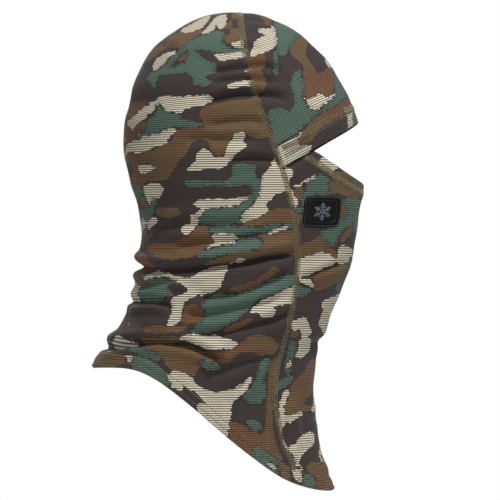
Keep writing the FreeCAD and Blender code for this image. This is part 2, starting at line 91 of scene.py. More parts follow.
CROWN_LEAN = np.array([(0, 0), (15, -1), (25, -3.5), (37, -4.8), (47, -5.2), (66, -4.2), (90, -2)],
                      float)
CROWN_FULL = np.array([(0, 0), (15, -1), (37, -2.5), (47, -3.5), (58, -4.5), (70, -2), (90, 6)],
                      float)


def ring(s):
    """Height, centre, half depth and half width (mm) at a distance s up the hood's side."""
    s = np.asarray(s, float)
    low = [smooth_through(np.minimum(s, DOME_BASE), RINGS[:, 0], RINGS[:, k]) for k in (1, 2, 3)]
    angle = np.clip((s - DOME_BASE) / CROWN_RISE, 0, math.pi / 2)
    turn = np.degrees(angle)
    lean = np.interp(turn, CROWN_LEAN[:, 0], CROWN_LEAN[:, 1])
    full = np.interp(turn, CROWN_FULL[:, 0], CROWN_FULL[:, 1])
    dome = s > DOME_BASE
    height = np.where(dome, DOME_BASE + CROWN_RISE * np.sin(angle), s)
    centre = np.where(dome, CROWN_MIDDLE + lean, (low[0] + low[1]) / 2)
    depth = np.where(dome, (CROWN_DEPTH + full) * np.cos(angle), (low[0] - low[1]) / 2)
    width = np.where(dome, (CROWN_WIDTH + full / 2) * np.cos(angle), low[2])
    return height, centre, depth, width


print("hood from", RINGS[0, 0], "to", round(float(ring(TOP)[0]), 1), "mm")

# %% [markdown]
# ## Seam and edges, drawn in side view
#
# The side seam is one long smooth curve from the crown past the temple to the hem. The brow edge
# and the mask edge are straight from the side, and the bottom edge sweeps from the shoulders down
# to the breast. All are written as forward distance against height.

# %% The side seam and the bottom edge
SEAM_POLES = [(-4, 150), (-1, 112), (5, 66), (31.5, 8), (45, -45), (47.5, -98), (29.5, -154),
              (20, -218), (64, -290)]
HEM_POLES = [(-160, -172), (-115, -165), (-82, -163), (-30, -210), (25, -256), (57, -272),
             (110, -273)]


def spline(poles, count=400):
    """Points along the smooth cubic curve that these poles pull on, ends included."""
    poles = np.array(poles, float)
    spans = len(poles) - 3
    knots = np.concatenate([[0] * 3, np.arange(spans + 1), [spans] * 3])
    points = []
    for t in np.linspace(0, spans - 1e-9, count):
        k = int(t) + 3
        d = [poles[j + k - 3].copy() for j in range(4)]
        for r in (1, 2, 3):
            for j in range(3, r - 1, -1):
                a = (t - knots[j + k - 3]) / (knots[j + 1 + k - r] - knots[j + k - 3])
                d[j] = (1 - a) * d[j - 1] + a * d[j]
        points.append(d[3])
    return np.array(points)


SEAM = spline(SEAM_POLES)[::-1]
HEM = spline(HEM_POLES)


def seam_forward(height):
    return np.interp(height, SEAM[:, 1], SEAM[:, 0])


print("seam passes the ear", round(float(seam_forward(0)), 1), "mm in front of it")

# %% Distances from the four edges
BROW_POINT, BROW_SLOPE = (34, 0.5), math.radians(31)
MASK_POINT, MASK_SLOPE = (29, 34.5), math.radians(32.3)
BROW_HEM, MASK_HEM, BOTTOM_HEM = 18.0, 12.5, 11.0


def above_brow(f, z):
    return (z - BROW_POINT[1]) * math.cos(BROW_SLOPE) - (f - BROW_POINT[0]) * math.sin(BROW_SLOPE)


def below_mask_edge(f, z):
    return -(z - MASK_POINT[1]) * math.cos(MASK_SLOPE) - (f - MASK_POINT[0]) * math.sin(MASK_SLOPE)


def above_hem(f, z):
    rise = np.gradient(HEM[:, 1], HEM[:, 0])
    return (z - np.interp(f, HEM[:, 0],
                          HEM[:, 1])) / np.sqrt(1 + np.interp(f, HEM[:, 0], rise) ** 2)


def seam_turn(s):
    """How far round from the face the side seam lies at this level, in radians."""
    height, centre, depth, _ = ring(np.minimum(s, DOME_BASE + CROWN_RISE * math.radians(82)))
    return np.arccos(np.clip((seam_forward(height) - centre) / depth, -0.999, 0.999))


print("eye opening at the temple is", round(float(above_brow(60, 16)), 1), "mm from the brow edge")

# %% [markdown]
# ## Folds
#
# Knit cloth that turns from a head to a narrower neck stacks up in soft folds. Each fold here is a
# line in side view with a sharp valley and a rounder ridge beside it. The ends of each line fade
# out. A little broad unevenness, the same on every piece, keeps the cloth from looking machined.

# %% Folds across the neck, the nape and the temple
# points (forward, height); valley depth; valley width; height of the ridge above and below
FOLDS = [
    ([(-100, -78), (-86, -83), (-70, -85.5), (-50, -84), (-20, -81), (5, -77.5), (25, -73),
      (46, -70)], 5.0, 3.2, 3.0, 1.8),
    ([(-104, -111), (-90, -111), (-74, -111), (-62, -114), (-57, -121)], 2.8, 2.4, 1.0, 2.0),
    ([(-62, -103), (-52, -103), (-44, -101)], 1.2, 2.0, 0.6, 0.4),
    ([(-40, -108), (-10, -106), (8, -101), (24, -94), (42, -86)], 3.0, 3.6, 1.6, 1.2),
    ([(-44, -138), (-20, -137), (0, -132), (20, -127), (44, -120)], 2.8, 3.4, 1.4, 1.2),
    ([(-124, -152), (-104, -147.5), (-88, -145.5), (-70, -144), (-50, -146), (-36, -150),
      (-24, -156), (-14, -164)], 5.0, 2.8, 2.6, 2.0),
    ([(-88, -131), (-74, -137), (-56, -138)], 1.8, 3.0, 0.8, 0.6),
    ([(44, -91), (58, -88), (72, -83), (90, -76)], 1.6, 2.2, 0.8, 0.8),
    ([(50, -148), (62, -146), (76, -142)], 1.4, 3.4, 0.8, 0.6),
    ([(-30, 79), (-14, 81), (2, 84), (16, 86), (36, 80)], 2.6, 2.2, 1.4, 1.2),
    ([(-34, 54), (-10, 60), (10, 61.5), (28, 60), (40, 55)], 2.9, 3.0, 1.5, 1.3),
    ([(-24, 70), (-6, 73), (8, 74), (30, 70)], 1.9, 2.2, 1.0, 0.9),
    ([(-20, 97), (-6, 99), (6, 101), (20, 99)], 1.5, 2.4, 0.8, 0.8),
    ([(-34, 34), (-12, 38), (8, 39), (22, 36)], 1.7, 3.0, 1.0, 0.8),
    ([(-52, 22), (-30, 24), (-6, 22), (18, 24)], 1.2, 3.4, 0.9, 0.7),
    ([(-74, -50), (-50, -46), (-20, -48), (14, -44)], 1.5, 4.0, 1.2, 0.9),
    ([(-60, -66), (-34, -62), (-6, -60), (24, -54)], 1.6, 3.4, 1.0, 1.0),
    ([(-96, -97), (-80, -97), (-60, -94), (-40, -90)], 1.8, 3.0, 1.2, 1.0),
    ([(-52, -122), (-30, -122), (-8, -118), (14, -112), (34, -106)], 2.2, 3.6, 1.4, 1.2),
    ([(-30, -174), (-14, -166), (6, -160), (26, -156)], 2.0, 4.0, 1.4, 1.1),
    ([(-10, -186), (4, -176), (12, -160)], 1.8, 3.2, 1.2, 1.0),
    ([(54, -190), (50, -210), (54, -230)], 1.4, 4.0, 1.0, 0.8),
    ([(70, -262), (84, -254), (96, -250)], 1.6, 3.0, 1.2, 0.8),
    ([(-2, 126), (12, 126), (26, 121)], 1.2, 2.4, 0.6, 0.6),
    ([(-16, 6), (4, 8), (20, 7), (33, 4)], 2.2, 2.6, 0.9, 0.8),
    ([(24, -246), (36, -226), (38, -204)], 1.3, 4.0, 0.6, 0.8),
    ([(-70, 108), (-58, 100), (-50, 90)], 0.9, 3.0, 0.5, 0.5),
]
FOLD_FADE = 12.0
FOLD_STRENGTH = 1.35


def along_line(f, z, line):
    """Signed distance from an open line (above it is positive), and how near its middle."""
    line = np.array(line, float)
    steps = np.diff(line, axis=0)
    lengths = np.hypot(steps[:, 0], steps[:, 1])
    starts = np.concatenate([[0], np.cumsum(lengths)])
    best = np.full(np.shape(f), 1e9)
    signed, place = np.zeros(np.shape(f)), np.zeros(np.shape(f))
    for (pf, pz), (df, dz), length, start in zip(line, steps, lengths, starts):
        t = ((f - pf) * df + (z - pz) * dz) / length ** 2
        t = np.clip(t, 0, 1)
        gap = np.hypot(f - pf - t * df, z - pz - t * dz)
        side = np.sign((z - pz) * df - (f - pf) * dz)
        near = gap < best
        best = np.where(near, gap, best)
        signed = np.where(near, gap * side, signed)
        place = np.where(near, start + t * length, place)
    fade = np.clip(np.minimum(place, starts[-1] - place) / FOLD_FADE, 0, 1)
    return signed, fade * fade * (3 - 2 * fade)


rng = np.random.default_rng(41)
SWELLS = [(rng.normal(0, 1, 3) * (0.045, 0.075, 0.13), rng.uniform(0, 6.28),
           0.34) for _ in range(9)]


def folds(f, z, x):
    """How far the cloth stands out (mm) from the smooth head, at this forward, height and side."""
    lift = np.zeros(np.shape(f))
    for line, depth, width, above, below in FOLDS:
        gap, fade = along_line(f, z, line)
        valley = -depth * np.exp(-(gap / width) ** 2)
        up = above * np.exp(-((gap - 2.4 * width) / (1.5 * width)) ** 2)
        down = below * np.exp(-((gap + 2.4 * width) / (1.5 * width)) ** 2)
        lift = lift + FOLD_STRENGTH * fade * (valley + up + down)
    for wave, phase, size in SWELLS:
        lift = lift + size * np.sin(f * wave[0] + x * wave[1] + z * wave[2] + phase)
    return lift


print(len(FOLDS), "folds")

# %% [markdown]
# ## Putting a point on the cloth
#
# `u` is the turn round the head in radians: zero at the face, positive to the wearer's left. `s`
# is the distance up the hood's side. A third number lifts the point off the cloth along the
# surface's own normal, which is how layers, threads and the patch are stacked.

# %% Surface, normals and seams
SEAM_HALF, SEAM_RISE, ROW_DITCH = 2.3, 0.35, 0.45


def bare(u, s):
    """Forward, height and side of the smooth head, in mm."""
    height, centre, depth, width = ring(s)
    return centre + depth * np.cos(u), height, width * np.sin(u)


def seam_ridge(u, s):
    """A flat seam stands a little proud, with a ditch under each outer row of thread."""
    _, _, depth, width = ring(s)
    reach = np.sqrt((depth * np.sin(u)) ** 2 + (width * np.cos(u)) ** 2)
    side = (np.abs(u) - seam_turn(s)) * reach
    back = np.where(side > 0, (math.pi - np.abs(u)) * reach, 1e3)
    total = np.zeros(np.shape(side))
    for gap in (side, back):
        total = total + SEAM_RISE * np.exp(-(gap / SEAM_HALF) ** 4)
        total = total - ROW_DITCH * np.exp(-((np.abs(gap) - SEAM_HALF) / 0.8) ** 2)
    return total


def hem_puff(gap, width, rows):
    """The profile of a folded hem: a rolled edge, a soft swell and a ditch under each row."""
    inside = np.clip(gap / width, 0, 1)
    swell = 0.6 * np.sqrt(np.clip(1 - np.abs(2 * inside - 1) ** 6, 0, 1)) * (gap < width)
    roll = -1.0 * (1 - np.sqrt(np.clip(1 - (1 - np.clip(gap / 1.4, 0, 1)) ** 2, 0, 1)))
    ditch = sum(-0.5 * np.exp(-((gap - row) / 0.75) ** 2) for row in rows)
    return swell + roll + ditch


BROW_ROWS, MASK_ROWS, BOTTOM_ROWS = (17.2, 10.8), (11.0, 5.4), (9.8, 4.2)


def point(u, s, lift=0.0, extra=None):
    """Points on the cloth in metres, and their outward normals."""
    step = 1e-4
    f, z, x = bare(u, s)
    fu, zu, xu = bare(u + step, s)
    fs, zs, xs = bare(u, s - step * 60)
    along = np.stack([xu - x, -(fu - f), zu - z], -1)
    up = np.stack([xs - x, -(fs - f), zs - z], -1)
    normal = np.cross(up, along)
    normal /= np.linalg.norm(normal, axis=-1, keepdims=True) + 1e-12
    outward = np.stack([x, -(f - CROWN_MIDDLE), z * 0.3], -1)
    normal *= np.where((normal * outward).sum(-1, keepdims=True) < 0, -1.0, 1.0)
    rise = folds(f, z, x) + seam_ridge(u, s) + lift
    if extra is not None:
        rise = rise + extra(f, z)
    place = np.stack([x, -f, z], -1) + normal * np.asarray(rise)[..., None]
    return place * MM, normal


check, _ = point(np.array([0.0, math.pi]), np.array([0.0, 0.0]))
print("nose and back of head:", check.round(4).tolist())

# %% [markdown]
# ## The camouflage print
#
# Woodland print is a few flat colours laid over each other: a dark ground, then brown, green and
# sand patches. Each patch is drawn as a short outline in side view, rounded off, and turned into a
# distance: how far inside the patch a point lies. The distances ride on the cloth as attributes,
# and the material cuts them at zero, so the borders stay sharp however close the view is.

# %% Patches of the right side panel, painted in this order
SIDE_PRINT = [
    ("brown", (-66, 104), (-60, 112), (-50, 118), (-42, 117), (-35, 120), (-34, 116), (-40, 111),
     (-48, 104), (-55, 101)),
    ("brown", (-18, 134), (3, 135), (3, 129), (-8, 127), (-14, 124), (-20, 118), (-6, 119),
     (3, 116), (-1, 103), (-14, 103), (-17, 109), (-9, 114)),
    ("green", (-22, 118), (-14, 114), (-17, 108), (-15, 101), (3, 99), (3, 95), (-16, 96),
     (-28, 97), (-36, 100), (-46, 98), (-50, 103), (-42, 110), (-32, 114)),
    ("green", (-46, 98), (-38, 98), (-34, 92), (-24, 88), (-21, 83), (-24, 79), (-31, 76),
     (-30, 73), (-20, 70), (-28, 68), (-42, 68), (-40, 74), (-44, 77), (-46, 80), (-58, 78),
     (-70, 79), (-71, 72), (-73, 63), (-76, 72), (-82, 76), (-76, 82), (-66, 86), (-58, 97),
     (-50, 104)),
    ("dark", (-63, 84), (-56, 92), (-52, 97), (-46, 98), (-47, 90), (-52, 87)),
    ("brown", (-56, 90), (-52, 96), (-46, 97), (-47, 91)),
    ("sand", (-76, 80), (-75, 91), (-66, 96), (-54, 101), (-60, 94), (-67, 87)),
    ("sand", (-54, 117), (-42, 124), (-30, 131), (-26, 129), (-35, 120), (-46, 115)),
    ("sand", (-37, 113), (-30, 121), (-26, 126), (-22, 130), (-13, 132), (-14, 122), (-20, 117),
     (-23, 124), (-25, 116)),
    ("sand", (-10, 101), (-6, 105), (2, 106), (2, 100)),
    ("sand", (-26, 96), (-14, 95), (3, 97), (5, 91), (-10, 90), (-18, 88)),
    ("sand", (0, 80), (3, 82), (6, 80), (2, 78)),
    ("sand", (-13, 68), (-8, 71), (9, 74), (11, 69), (-2, 67), (-10, 64)),
    ("brown", (-94, 57), (-80, 57), (-75, 55), (-76, 50), (-86, 47), (-94, 42), (-104, 38),
     (-104, 56)),
    ("brown", (-104, 60), (-98, 60), (-90, 76), (-82, 88), (-86, 90), (-100, 76)),
    ("sand", (-82, 55), (-73, 56), (-68, 61), (-55, 60), (-44, 59), (-28, 62), (-24, 58),
     (-28, 54), (-40, 51), (-48, 49), (-52, 45), (-64, 47), (-68, 54), (-73, 52)),
    ("sand", (-75, 55), (-71, 50), (-78, 46), (-84, 40), (-84, 34), (-90, 26), (-84, 27),
     (-72, 29), (-64, 32), (-58, 36), (-54, 31), (-60, 27), (-64, 20), (-74, 18), (-82, 12),
     (-88, 7), (-91, 14), (-94, 19), (-104, 21), (-104, 39), (-93, 42), (-87, 49)),
    ("green", (-72, 55), (-68, 52), (-65, 48), (-52, 45), (-50, 41), (-40, 39), (-33, 37),
     (-34, 32), (-52, 35), (-62, 33), (-72, 29), (-84, 27), (-91, 23), (-89, 28), (-84, 34),
     (-84, 40), (-74, 43), (-71, 49)),
    ("brown", (-37, 45), (-34, 50), (-20, 54), (0, 57), (14, 58), (20, 38), (24, 26), (12, 24),
     (4, 26), (2, 31), (-6, 27), (-12, 17), (-18, 8), (-24, 9), (-28, 18), (-30, 25), (-44, 22),
     (-44, 14), (-52, 6), (-58, 3), (-70, 4), (-82, 8), (-72, 18), (-60, 22), (-56, 30), (-50, 34),
     (-34, 33), (-32, 38)),
    ("sand", (-48, -1), (-40, 4), (-37, 14), (-32, 16), (-26, 13), (-21, 8), (-16, 9), (-12, 18),
     (-8, 27), (0, 30), (4, 27), (-1, 22), (5, 19), (0, 15), (-8, 9), (-14, 2), (-20, -2),
     (-32, 0), (-44, -3)),
    ("brown", (-88, 8), (-70, 5), (-58, 4), (-52, 6), (-58, -2), (-60, -8), (-72, -11), (-84, -10),
     (-82, -25), (-78, -37), (-85, -34), (-90, -22), (-95, -6)),
    ("sand", (-89, -1), (-87, 4), (-76, 3), (-71, 1), (-78, -2), (-84, -5)),
    ("sand", (-84, -14), (-78, -12), (-70, -11), (-64, -17), (-68, -22), (-74, -27), (-77, -36),
     (-80, -28), (-83, -20)),
    ("brown", (-74, -34), (-68, -32), (-56, -32), (-50, -36), (-54, -40), (-64, -41), (-72, -38)),
    ("green", (-92, -34), (-82, -34), (-74, -24), (-71, -27), (-76, -38), (-80, -46), (-80, -60),
     (-74, -62), (-84, -68), (-92, -64)),
    ("sand", (-79, -42), (-72, -39), (-70, -44), (-74, -47), (-79, -52), (-81, -46)),
    ("green", (-50, -13), (-44, -9), (-20, -11), (-9, -9), (-9, 4), (6, 3), (12, 1), (10, -8),
     (17, -9), (14, -20), (9, -21), (8, -14), (-4, -14), (-14, -17), (-24, -14), (-42, -17)),
    ("green", (15, -10), (15, -20), (9, -30), (2, -36), (-1, -42), (-4, -47), (-20, -48),
     (-38, -46), (-40, -42), (-34, -38), (-33, -33), (-6, -32), (-4, -28), (8, -23), (9, -13)),
    ("sand", (-45, -30), (-34, -25), (-20, -26), (0, -25), (11, -21), (-2, -28), (-4, -32),
     (-20, -33), (-32, -33), (-33, -38), (-39, -42), (-46, -40), (-38, -37), (-34, -33)),
    ("sand", (-46, -41), (-38, -39), (-38, -46), (-41, -52), (-45, -57), (-52, -52), (-51, -48),
     (-43, -45)),
    ("sand", (20, 0), (28, 3), (46, 2), (46, -22), (38, -20), (30, -21), (24, -24), (19, -30),
     (21, -36), (16, -40), (8, -42), (2, -46), (-2, -44), (-1, -38), (6, -34), (12, -26),
     (14, -20), (14, -12)),
    ("sand", (23, 1), (24, 7), (28, 7), (29, 0)),
    ("brown", (-1, -45), (8, -43), (16, -41), (20, -37), (26, -33), (34, -34), (48, -36),
     (48, -47), (30, -46), (14, -48), (2, -49)),
    ("green", (-30, -52), (-20, -48), (0, -49), (14, -49), (24, -46), (48, -46), (48, -50),
     (28, -51), (20, -53), (10, -54), (-2, -56), (-12, -53), (-26, -54)),
    ("brown", (-41, -47), (-28, -48), (-30, -53), (-25, -56), (-24, -62), (-32, -66), (-34, -72),
     (-50, -77), (-66, -76), (-76, -70), (-84, -62), (-70, -63), (-56, -62), (-50, -58),
     (-44, -56), (-40, -52)),
    ("brown", (10, -55), (20, -54), (28, -52), (50, -50), (54, -66), (48, -72), (30, -72),
     (10, -75), (-8, -78), (-24, -80), (-36, -80), (-20, -75), (-8, -71), (8, -68), (16, -64),
     (18, -60)),
    ("sand", (-27, -56), (-22, -54), (-10, -54), (-4, -57), (-3, -61), (-10, -63), (-22, -64),
     (-32, -68), (-27, -63), (-23, -61)),
    ("green", (-3, -58), (10, -58), (18, -60), (15, -66), (6, -68), (-10, -71), (-24, -75),
     (-38, -75), (-32, -68), (-20, -65), (-8, -63)),
    ("sand", (19, -52), (28, -51), (36, -47), (39, -50), (32, -53), (22, -56)),
    ("sand", (-15, -79), (-6, -77), (-2, -74), (4, -76), (2, -79), (-8, -80)),
    ("sand", (-40, -90), (-34, -84), (-20, -80), (-11, -82), (-16, -90), (-17, -98), (-22, -103),
     (-36, -105), (-44, -108), (-50, -112), (-51, -120), (-51, -128), (-60, -132), (-64, -130),
     (-58, -120), (-60, -108), (-50, -105), (-44, -101), (-50, -96), (-60, -92), (-58, -89),
     (-48, -91)),
    ("sand", (-100, -66), (-86, -66), (-82, -70), (-80, -78), (-72, -86), (-62, -87), (-55, -91),
     (-60, -93), (-68, -90), (-76, -93), (-84, -96), (-86, -103), (-83, -106), (-90, -110),
     (-104, -112)),
    ("dark", (-86, -74), (-80, -77), (-84, -80)),
    ("green", (-77, -93), (-66, -90), (-56, -93), (-52, -97), (-49, -101), (-56, -106),
     (-66, -108), (-72, -113), (-84, -112), (-87, -106), (-88, -98)),
    ("dark", (-61, -95), (-52, -97), (-48, -101), (-52, -104), (-62, -103)),
    ("green", (-24, -104), (-8, -105), (6, -101), (24, -92), (46, -86), (46, -100), (28, -104),
     (14, -108), (8, -114), (2, -120), (-6, -126), (-14, -131), (-30, -138), (-46, -138),
     (-36, -128), (-32, -120), (-36, -114), (-30, -108)),
    ("brown", (-50, -120), (-46, -113), (-36, -113), (-31, -120), (-34, -128), (-44, -130),
     (-52, -130)),
    ("brown", (-14, -102), (0, -103), (8, -100), (20, -93), (32, -84), (24, -80), (20, -87),
     (8, -94), (-8, -98)),
    ("sand", (2, -122), (12, -113), (20, -108), (30, -104), (36, -99), (48, -96), (48, -112),
     (34, -113), (23, -114), (27, -119), (24, -124), (16, -124), (10, -119)),
    ("brown", (-18, -134), (-4, -128), (6, -123), (9, -126), (0, -132), (-12, -137)),
    ("brown", (-108, -112), (-92, -111), (-84, -114), (-96, -122), (-106, -126)),
    ("green", (-120, -118), (-98, -118), (-88, -113), (-94, -120), (-100, -128), (-106, -142),
     (-124, -146)),
    ("sand", (-97, -128), (-94, -130), (-98, -141), (-90, -143), (-90, -147), (-104, -148),
     (-112, -155), (-128, -154), (-128, -146), (-112, -146), (-106, -144), (-102, -137)),
    ("brown", (-84, -131), (-60, -133), (-44, -129), (-50, -136), (-66, -138), (-78, -138)),
    ("brown", (-86, -142), (-70, -140), (-52, -140), (-52, -144), (-70, -145), (-86, -146)),
    ("sand", (-54, -143), (-48, -138), (-24, -138), (-10, -142), (-2, -146), (-10, -149),
     (-28, -151), (-38, -148), (-44, -144)),
    ("brown", (-82, -147), (-62, -146), (-46, -147), (-38, -151), (-22, -153), (-10, -151),
     (-4, -147), (2, -140), (14, -137), (28, -142), (30, -150), (20, -157), (8, -153), (-4, -152),
     (-10, -160), (-20, -163), (-28, -159), (-36, -166), (-40, -173), (-50, -170), (-60, -168),
     (-66, -158), (-78, -152)),
    ("green", (-92, -148), (-78, -151), (-66, -157), (-70, -161), (-84, -156), (-98, -152)),
    ("green", (-37, -160), (-28, -158), (-22, -162), (-16, -167), (-26, -168), (-34, -166)),
    ("sand", (-62, -168), (-50, -169), (-42, -174), (-38, -181), (-26, -186), (-10, -184),
     (0, -180), (6, -172), (9, -175), (4, -182), (-2, -190), (-10, -196), (-9, -210), (-22, -212),
     (-36, -202), (-46, -192), (-56, -180)),
    ("green", (7, -183), (3, -185), (0, -191), (4, -196), (18, -196), (20, -184), (16, -176),
     (20, -166), (24, -158), (16, -158), (12, -166), (10, -175)),
    ("brown", (22, -158), (34, -158), (28, -180), (24, -200), (26, -230), (36, -246), (16, -240),
     (2, -228), (-10, -218), (-18, -208), (-4, -211), (10, -220), (18, -222), (20, -200),
     (20, -180)),
    ("green", (2, -210), (10, -208), (17, -216), (12, -219), (4, -216)),
]
print(len(SIDE_PRINT), "patches on the side panel")

# %% Patches of the forehead, the front and the hems
FOREHEAD_PRINT = [
    ("green", (24, 130), (30, 128), (44, 122), (54, 113), (44, 112), (40, 104), (38, 96), (32, 93),
     (28, 98), (26, 112), (24, 118)),
    ("green", (25, 98), (29, 98), (30, 77), (26, 76)),
    ("brown", (16, 135), (26, 132), (25, 121), (20, 120), (18, 126)),
    ("brown", (44, 113), (54, 112), (54, 106), (52, 100), (52, 93), (58, 92), (62, 84), (66, 81),
     (70, 84), (84, 92), (84, 82), (77, 72), (76, 64), (72, 60), (66, 58), (56, 58), (50, 60),
     (51, 70), (49, 76), (52, 86), (46, 92), (39, 95), (40, 105)),
    ("dark", (51, 100), (56, 108), (64, 102), (76, 94), (69, 84), (64, 79), (60, 86), (55, 92)),
    ("sand", (68, 94), (72, 92), (76, 86), (71, 86)),
    ("sand", (6, 97), (12, 108), (20, 112), (12, 114), (14, 118), (22, 116), (24, 122), (27, 114),
     (29, 104), (24, 99), (20, 97), (12, 93), (5, 91)),
    ("brown", (4, 92), (9, 92), (14, 95), (19, 93), (18, 84), (13, 80), (20, 74), (20, 66),
     (12, 62), (16, 56), (12, 54), (4, 70)),
    ("green", (44, 82), (49, 83), (50, 72), (52, 66), (49, 60), (54, 53), (60, 49), (70, 55),
     (78, 64), (90, 72), (98, 60), (88, 56), (76, 52), (62, 44), (50, 34), (44, 28), (36, 24),
     (30, 19), (25, 20), (24, 34), (19, 44), (24, 50), (32, 50), (40, 47), (44, 56), (42, 64),
     (38, 72)),
    ("green", (77, 82), (86, 84), (98, 70), (96, 60), (78, 60), (78, 72)),
    ("sand", (48, 61), (54, 57), (60, 60), (66, 64), (68, 59), (72, 60), (78, 66), (77, 61),
     (70, 56), (64, 50), (58, 48), (54, 52)),
    ("brown", (50, 30), (58, 42), (70, 50), (80, 56), (92, 66), (98, 52), (84, 48), (70, 36)),
]
BROW_PRINT = [
    ("brown", (44, 20), (48, 32), (60, 42), (74, 50), (88, 60), (92, 54), (86, 46), (74, 42),
     (66, 36), (60, 28), (56, 22), (50, 16)),
    ("sand", (26, 10), (30, 24), (38, 27), (46, 32), (50, 31), (46, 25), (44, 21), (48, 18),
     (54, 20), (57, 17), (53, 10), (44, 6), (36, -1), (28, -2)),
    ("sand", (84, 52), (87, 60), (92, 62), (93, 52), (93, 34), (87, 30), (88, 44)),
    ("green", (93, 34), (104, 34), (104, 60), (94, 60), (93, 46)),
]
FRONT_PRINT = [
    ("sand", (24, 4), (44, -1), (40, -6), (38, -14), (42, -18), (47, -30), (43, -34), (38, -28),
     (34, -14)),
    ("sand", (40, -17), (50, -11), (60, -4), (63, -7), (52, -12), (44, -18)),
    ("brown", (40, -20), (44, -16), (52, -15), (54, -22), (50, -28), (46, -26)),
    ("green", (50, -13), (60, -8), (64, -3), (72, -4), (76, -12), (74, -22), (56, -22), (52, -30),
     (54, -44), (49, -38), (49, -22), (53, -17)),
    ("brown", (70, -12), (80, -9), (90, -14), (104, -18), (104, -28), (90, -25), (80, -21),
     (72, -19)),
    ("green", (80, -22), (104, -24), (104, -54), (94, -54), (88, -46), (80, -54), (76, -68),
     (68, -60), (63, -54), (70, -49), (78, -46), (80, -40)),
    ("brown", (80, -27), (84, -30), (88, -38), (83, -43), (80, -38)),
    ("brown", (90, -45), (94, -46), (85, -61), (79, -62), (82, -55)),
    ("brown", (38, -35), (46, -36), (50, -40), (46, -47), (40, -44)),
    ("green", (40, -32), (50, -33), (50, -37), (42, -36)),
    ("brown", (46, -64), (56, -60), (64, -55), (68, -60), (76, -68), (81, -77), (74, -74),
     (70, -70), (60, -72), (46, -76)),
    ("sand", (44, -76), (56, -72), (62, -70), (70, -70), (74, -74), (79, -78), (76, -80),
     (64, -84), (58, -88), (46, -91), (42, -84)),
    ("sand", (80, -66), (84, -63), (88, -66), (98, -70), (96, -75), (90, -76), (84, -80),
     (77, -78), (79, -72)),
    ("brown", (94, -60), (104, -58), (100, -72), (91, -70)),
    ("brown", (58, -91), (64, -86), (78, -82), (86, -78), (100, -76), (96, -86), (84, -93),
     (72, -98), (60, -103), (58, -96)),
    ("sand", (44, -93), (54, -92), (57, -94), (60, -100), (52, -97)),
    ("green", (40, -95), (50, -98), (59, -101), (54, -106), (40, -108)),
    ("green", (80, -94), (94, -92), (92, -102), (78, -104), (76, -100)),
    ("sand", (66, -110), (74, -107), (90, -102), (90, -114), (82, -124), (78, -136), (68, -142),
     (64, -134), (63, -128), (67, -118), (64, -115)),
    ("sand", (38, -128), (46, -124), (52, -124), (54, -130), (57, -138), (52, -141), (56, -142),
     (58, -148), (54, -155), (48, -159), (43, -158), (46, -150), (45, -144), (50, -140),
     (47, -134), (40, -134)),
    ("brown", (38, -134), (46, -135), (46, -142), (40, -141)),
    ("green", (38, -142), (44, -144), (45, -152), (41, -158), (42, -164), (38, -173), (34, -166),
     (37, -152)),
    ("sand", (36, -164), (40, -159), (42, -163), (38, -167)),
    ("brown", (54, -161), (66, -158), (66, -200), (60, -200), (52, -205), (42, -206), (35, -211),
     (31, -204), (35, -190), (40, -182), (44, -176), (52, -170)),
    ("dark", (54, -190), (66, -190), (66, -200), (52, -200)),
    ("green", (28, -178), (36, -174), (43, -172), (40, -180), (30, -185), (26, -191), (23, -186)),
    ("green", (24, -204), (30, -203), (28, -210), (23, -210)),
    ("sand", (37, -184), (40, -186), (34, -198), (34, -206), (40, -206), (50, -203), (53, -206),
     (40, -210), (32, -218), (31, -224), (35, -228), (38, -234), (30, -235), (24, -226),
     (22, -218), (25, -212), (31, -208), (30, -198), (33, -188)),
    ("sand", (45, -225), (52, -222), (59, -221), (60, -230), (54, -235), (49, -240), (46, -246),
     (51, -252), (46, -251), (42, -240), (37, -237), (40, -231), (45, -230)),
    ("green", (31, -235), (38, -237), (42, -242), (46, -250), (43, -253), (36, -246)),
    ("sand", (64, -243), (72, -244), (74, -250), (64, -247)),
    ("brown", (56, -246), (64, -248), (76, -252), (90, -268), (90, -280), (66, -270), (58, -260),
     (52, -250)),
]
MASK_HEM_PRINT = [
    ("sand", (59, 0), (64, 9), (70, 9), (78, 2), (80, -4), (76, -8), (70, -3), (66, -1), (62, 4)),
    ("brown", (78, -1), (88, -4), (104, -10), (104, -26), (94, -22), (86, -14), (76, -11),
     (71, -6)),
    ("green", (88, -8), (98, -9), (99, -15), (92, -14)),
]
BOTTOM_PRINT = [
    ("brown", (-140, -140), (-96, -140), (-94, -166), (-140, -176)),
    ("sand", (-96, -150), (-90, -150), (-92, -163), (-96, -162)),
    ("green", (-92, -150), (-66, -152), (-58, -178), (-66, -184), (-92, -174)),
    ("sand", (-64, -164), (-50, -168), (-48, -186), (-60, -182)),
    ("sand", (-38, -192), (-14, -200), (-8, -222), (-26, -222), (-38, -208)),
    ("brown", (-12, -206), (10, -224), (12, -246), (-12, -226)),
    ("green", (8, -228), (30, -240), (30, -262), (8, -246)),
    ("sand", (20, -244), (28, -248), (28, -252), (20, -248)),
    ("brown", (30, -238), (38, -246), (40, -262), (30, -256)),
    ("sand", (40, -250), (48, -252), (52, -264), (44, -262)),
    ("green", (48, -254), (60, -258), (62, -276), (50, -270)),
    ("brown", (60, -250), (92, -256), (92, -284), (60, -280)),
]
print("front", len(FRONT_PRINT), "forehead", len(FOREHEAD_PRINT), "bottom hem", len(BOTTOM_PRINT))

# %% Painting patches onto points
COLOURS = ("brown", "green", "sand")
FAR = 14.0
TURN_IN = math.acos(0.8)


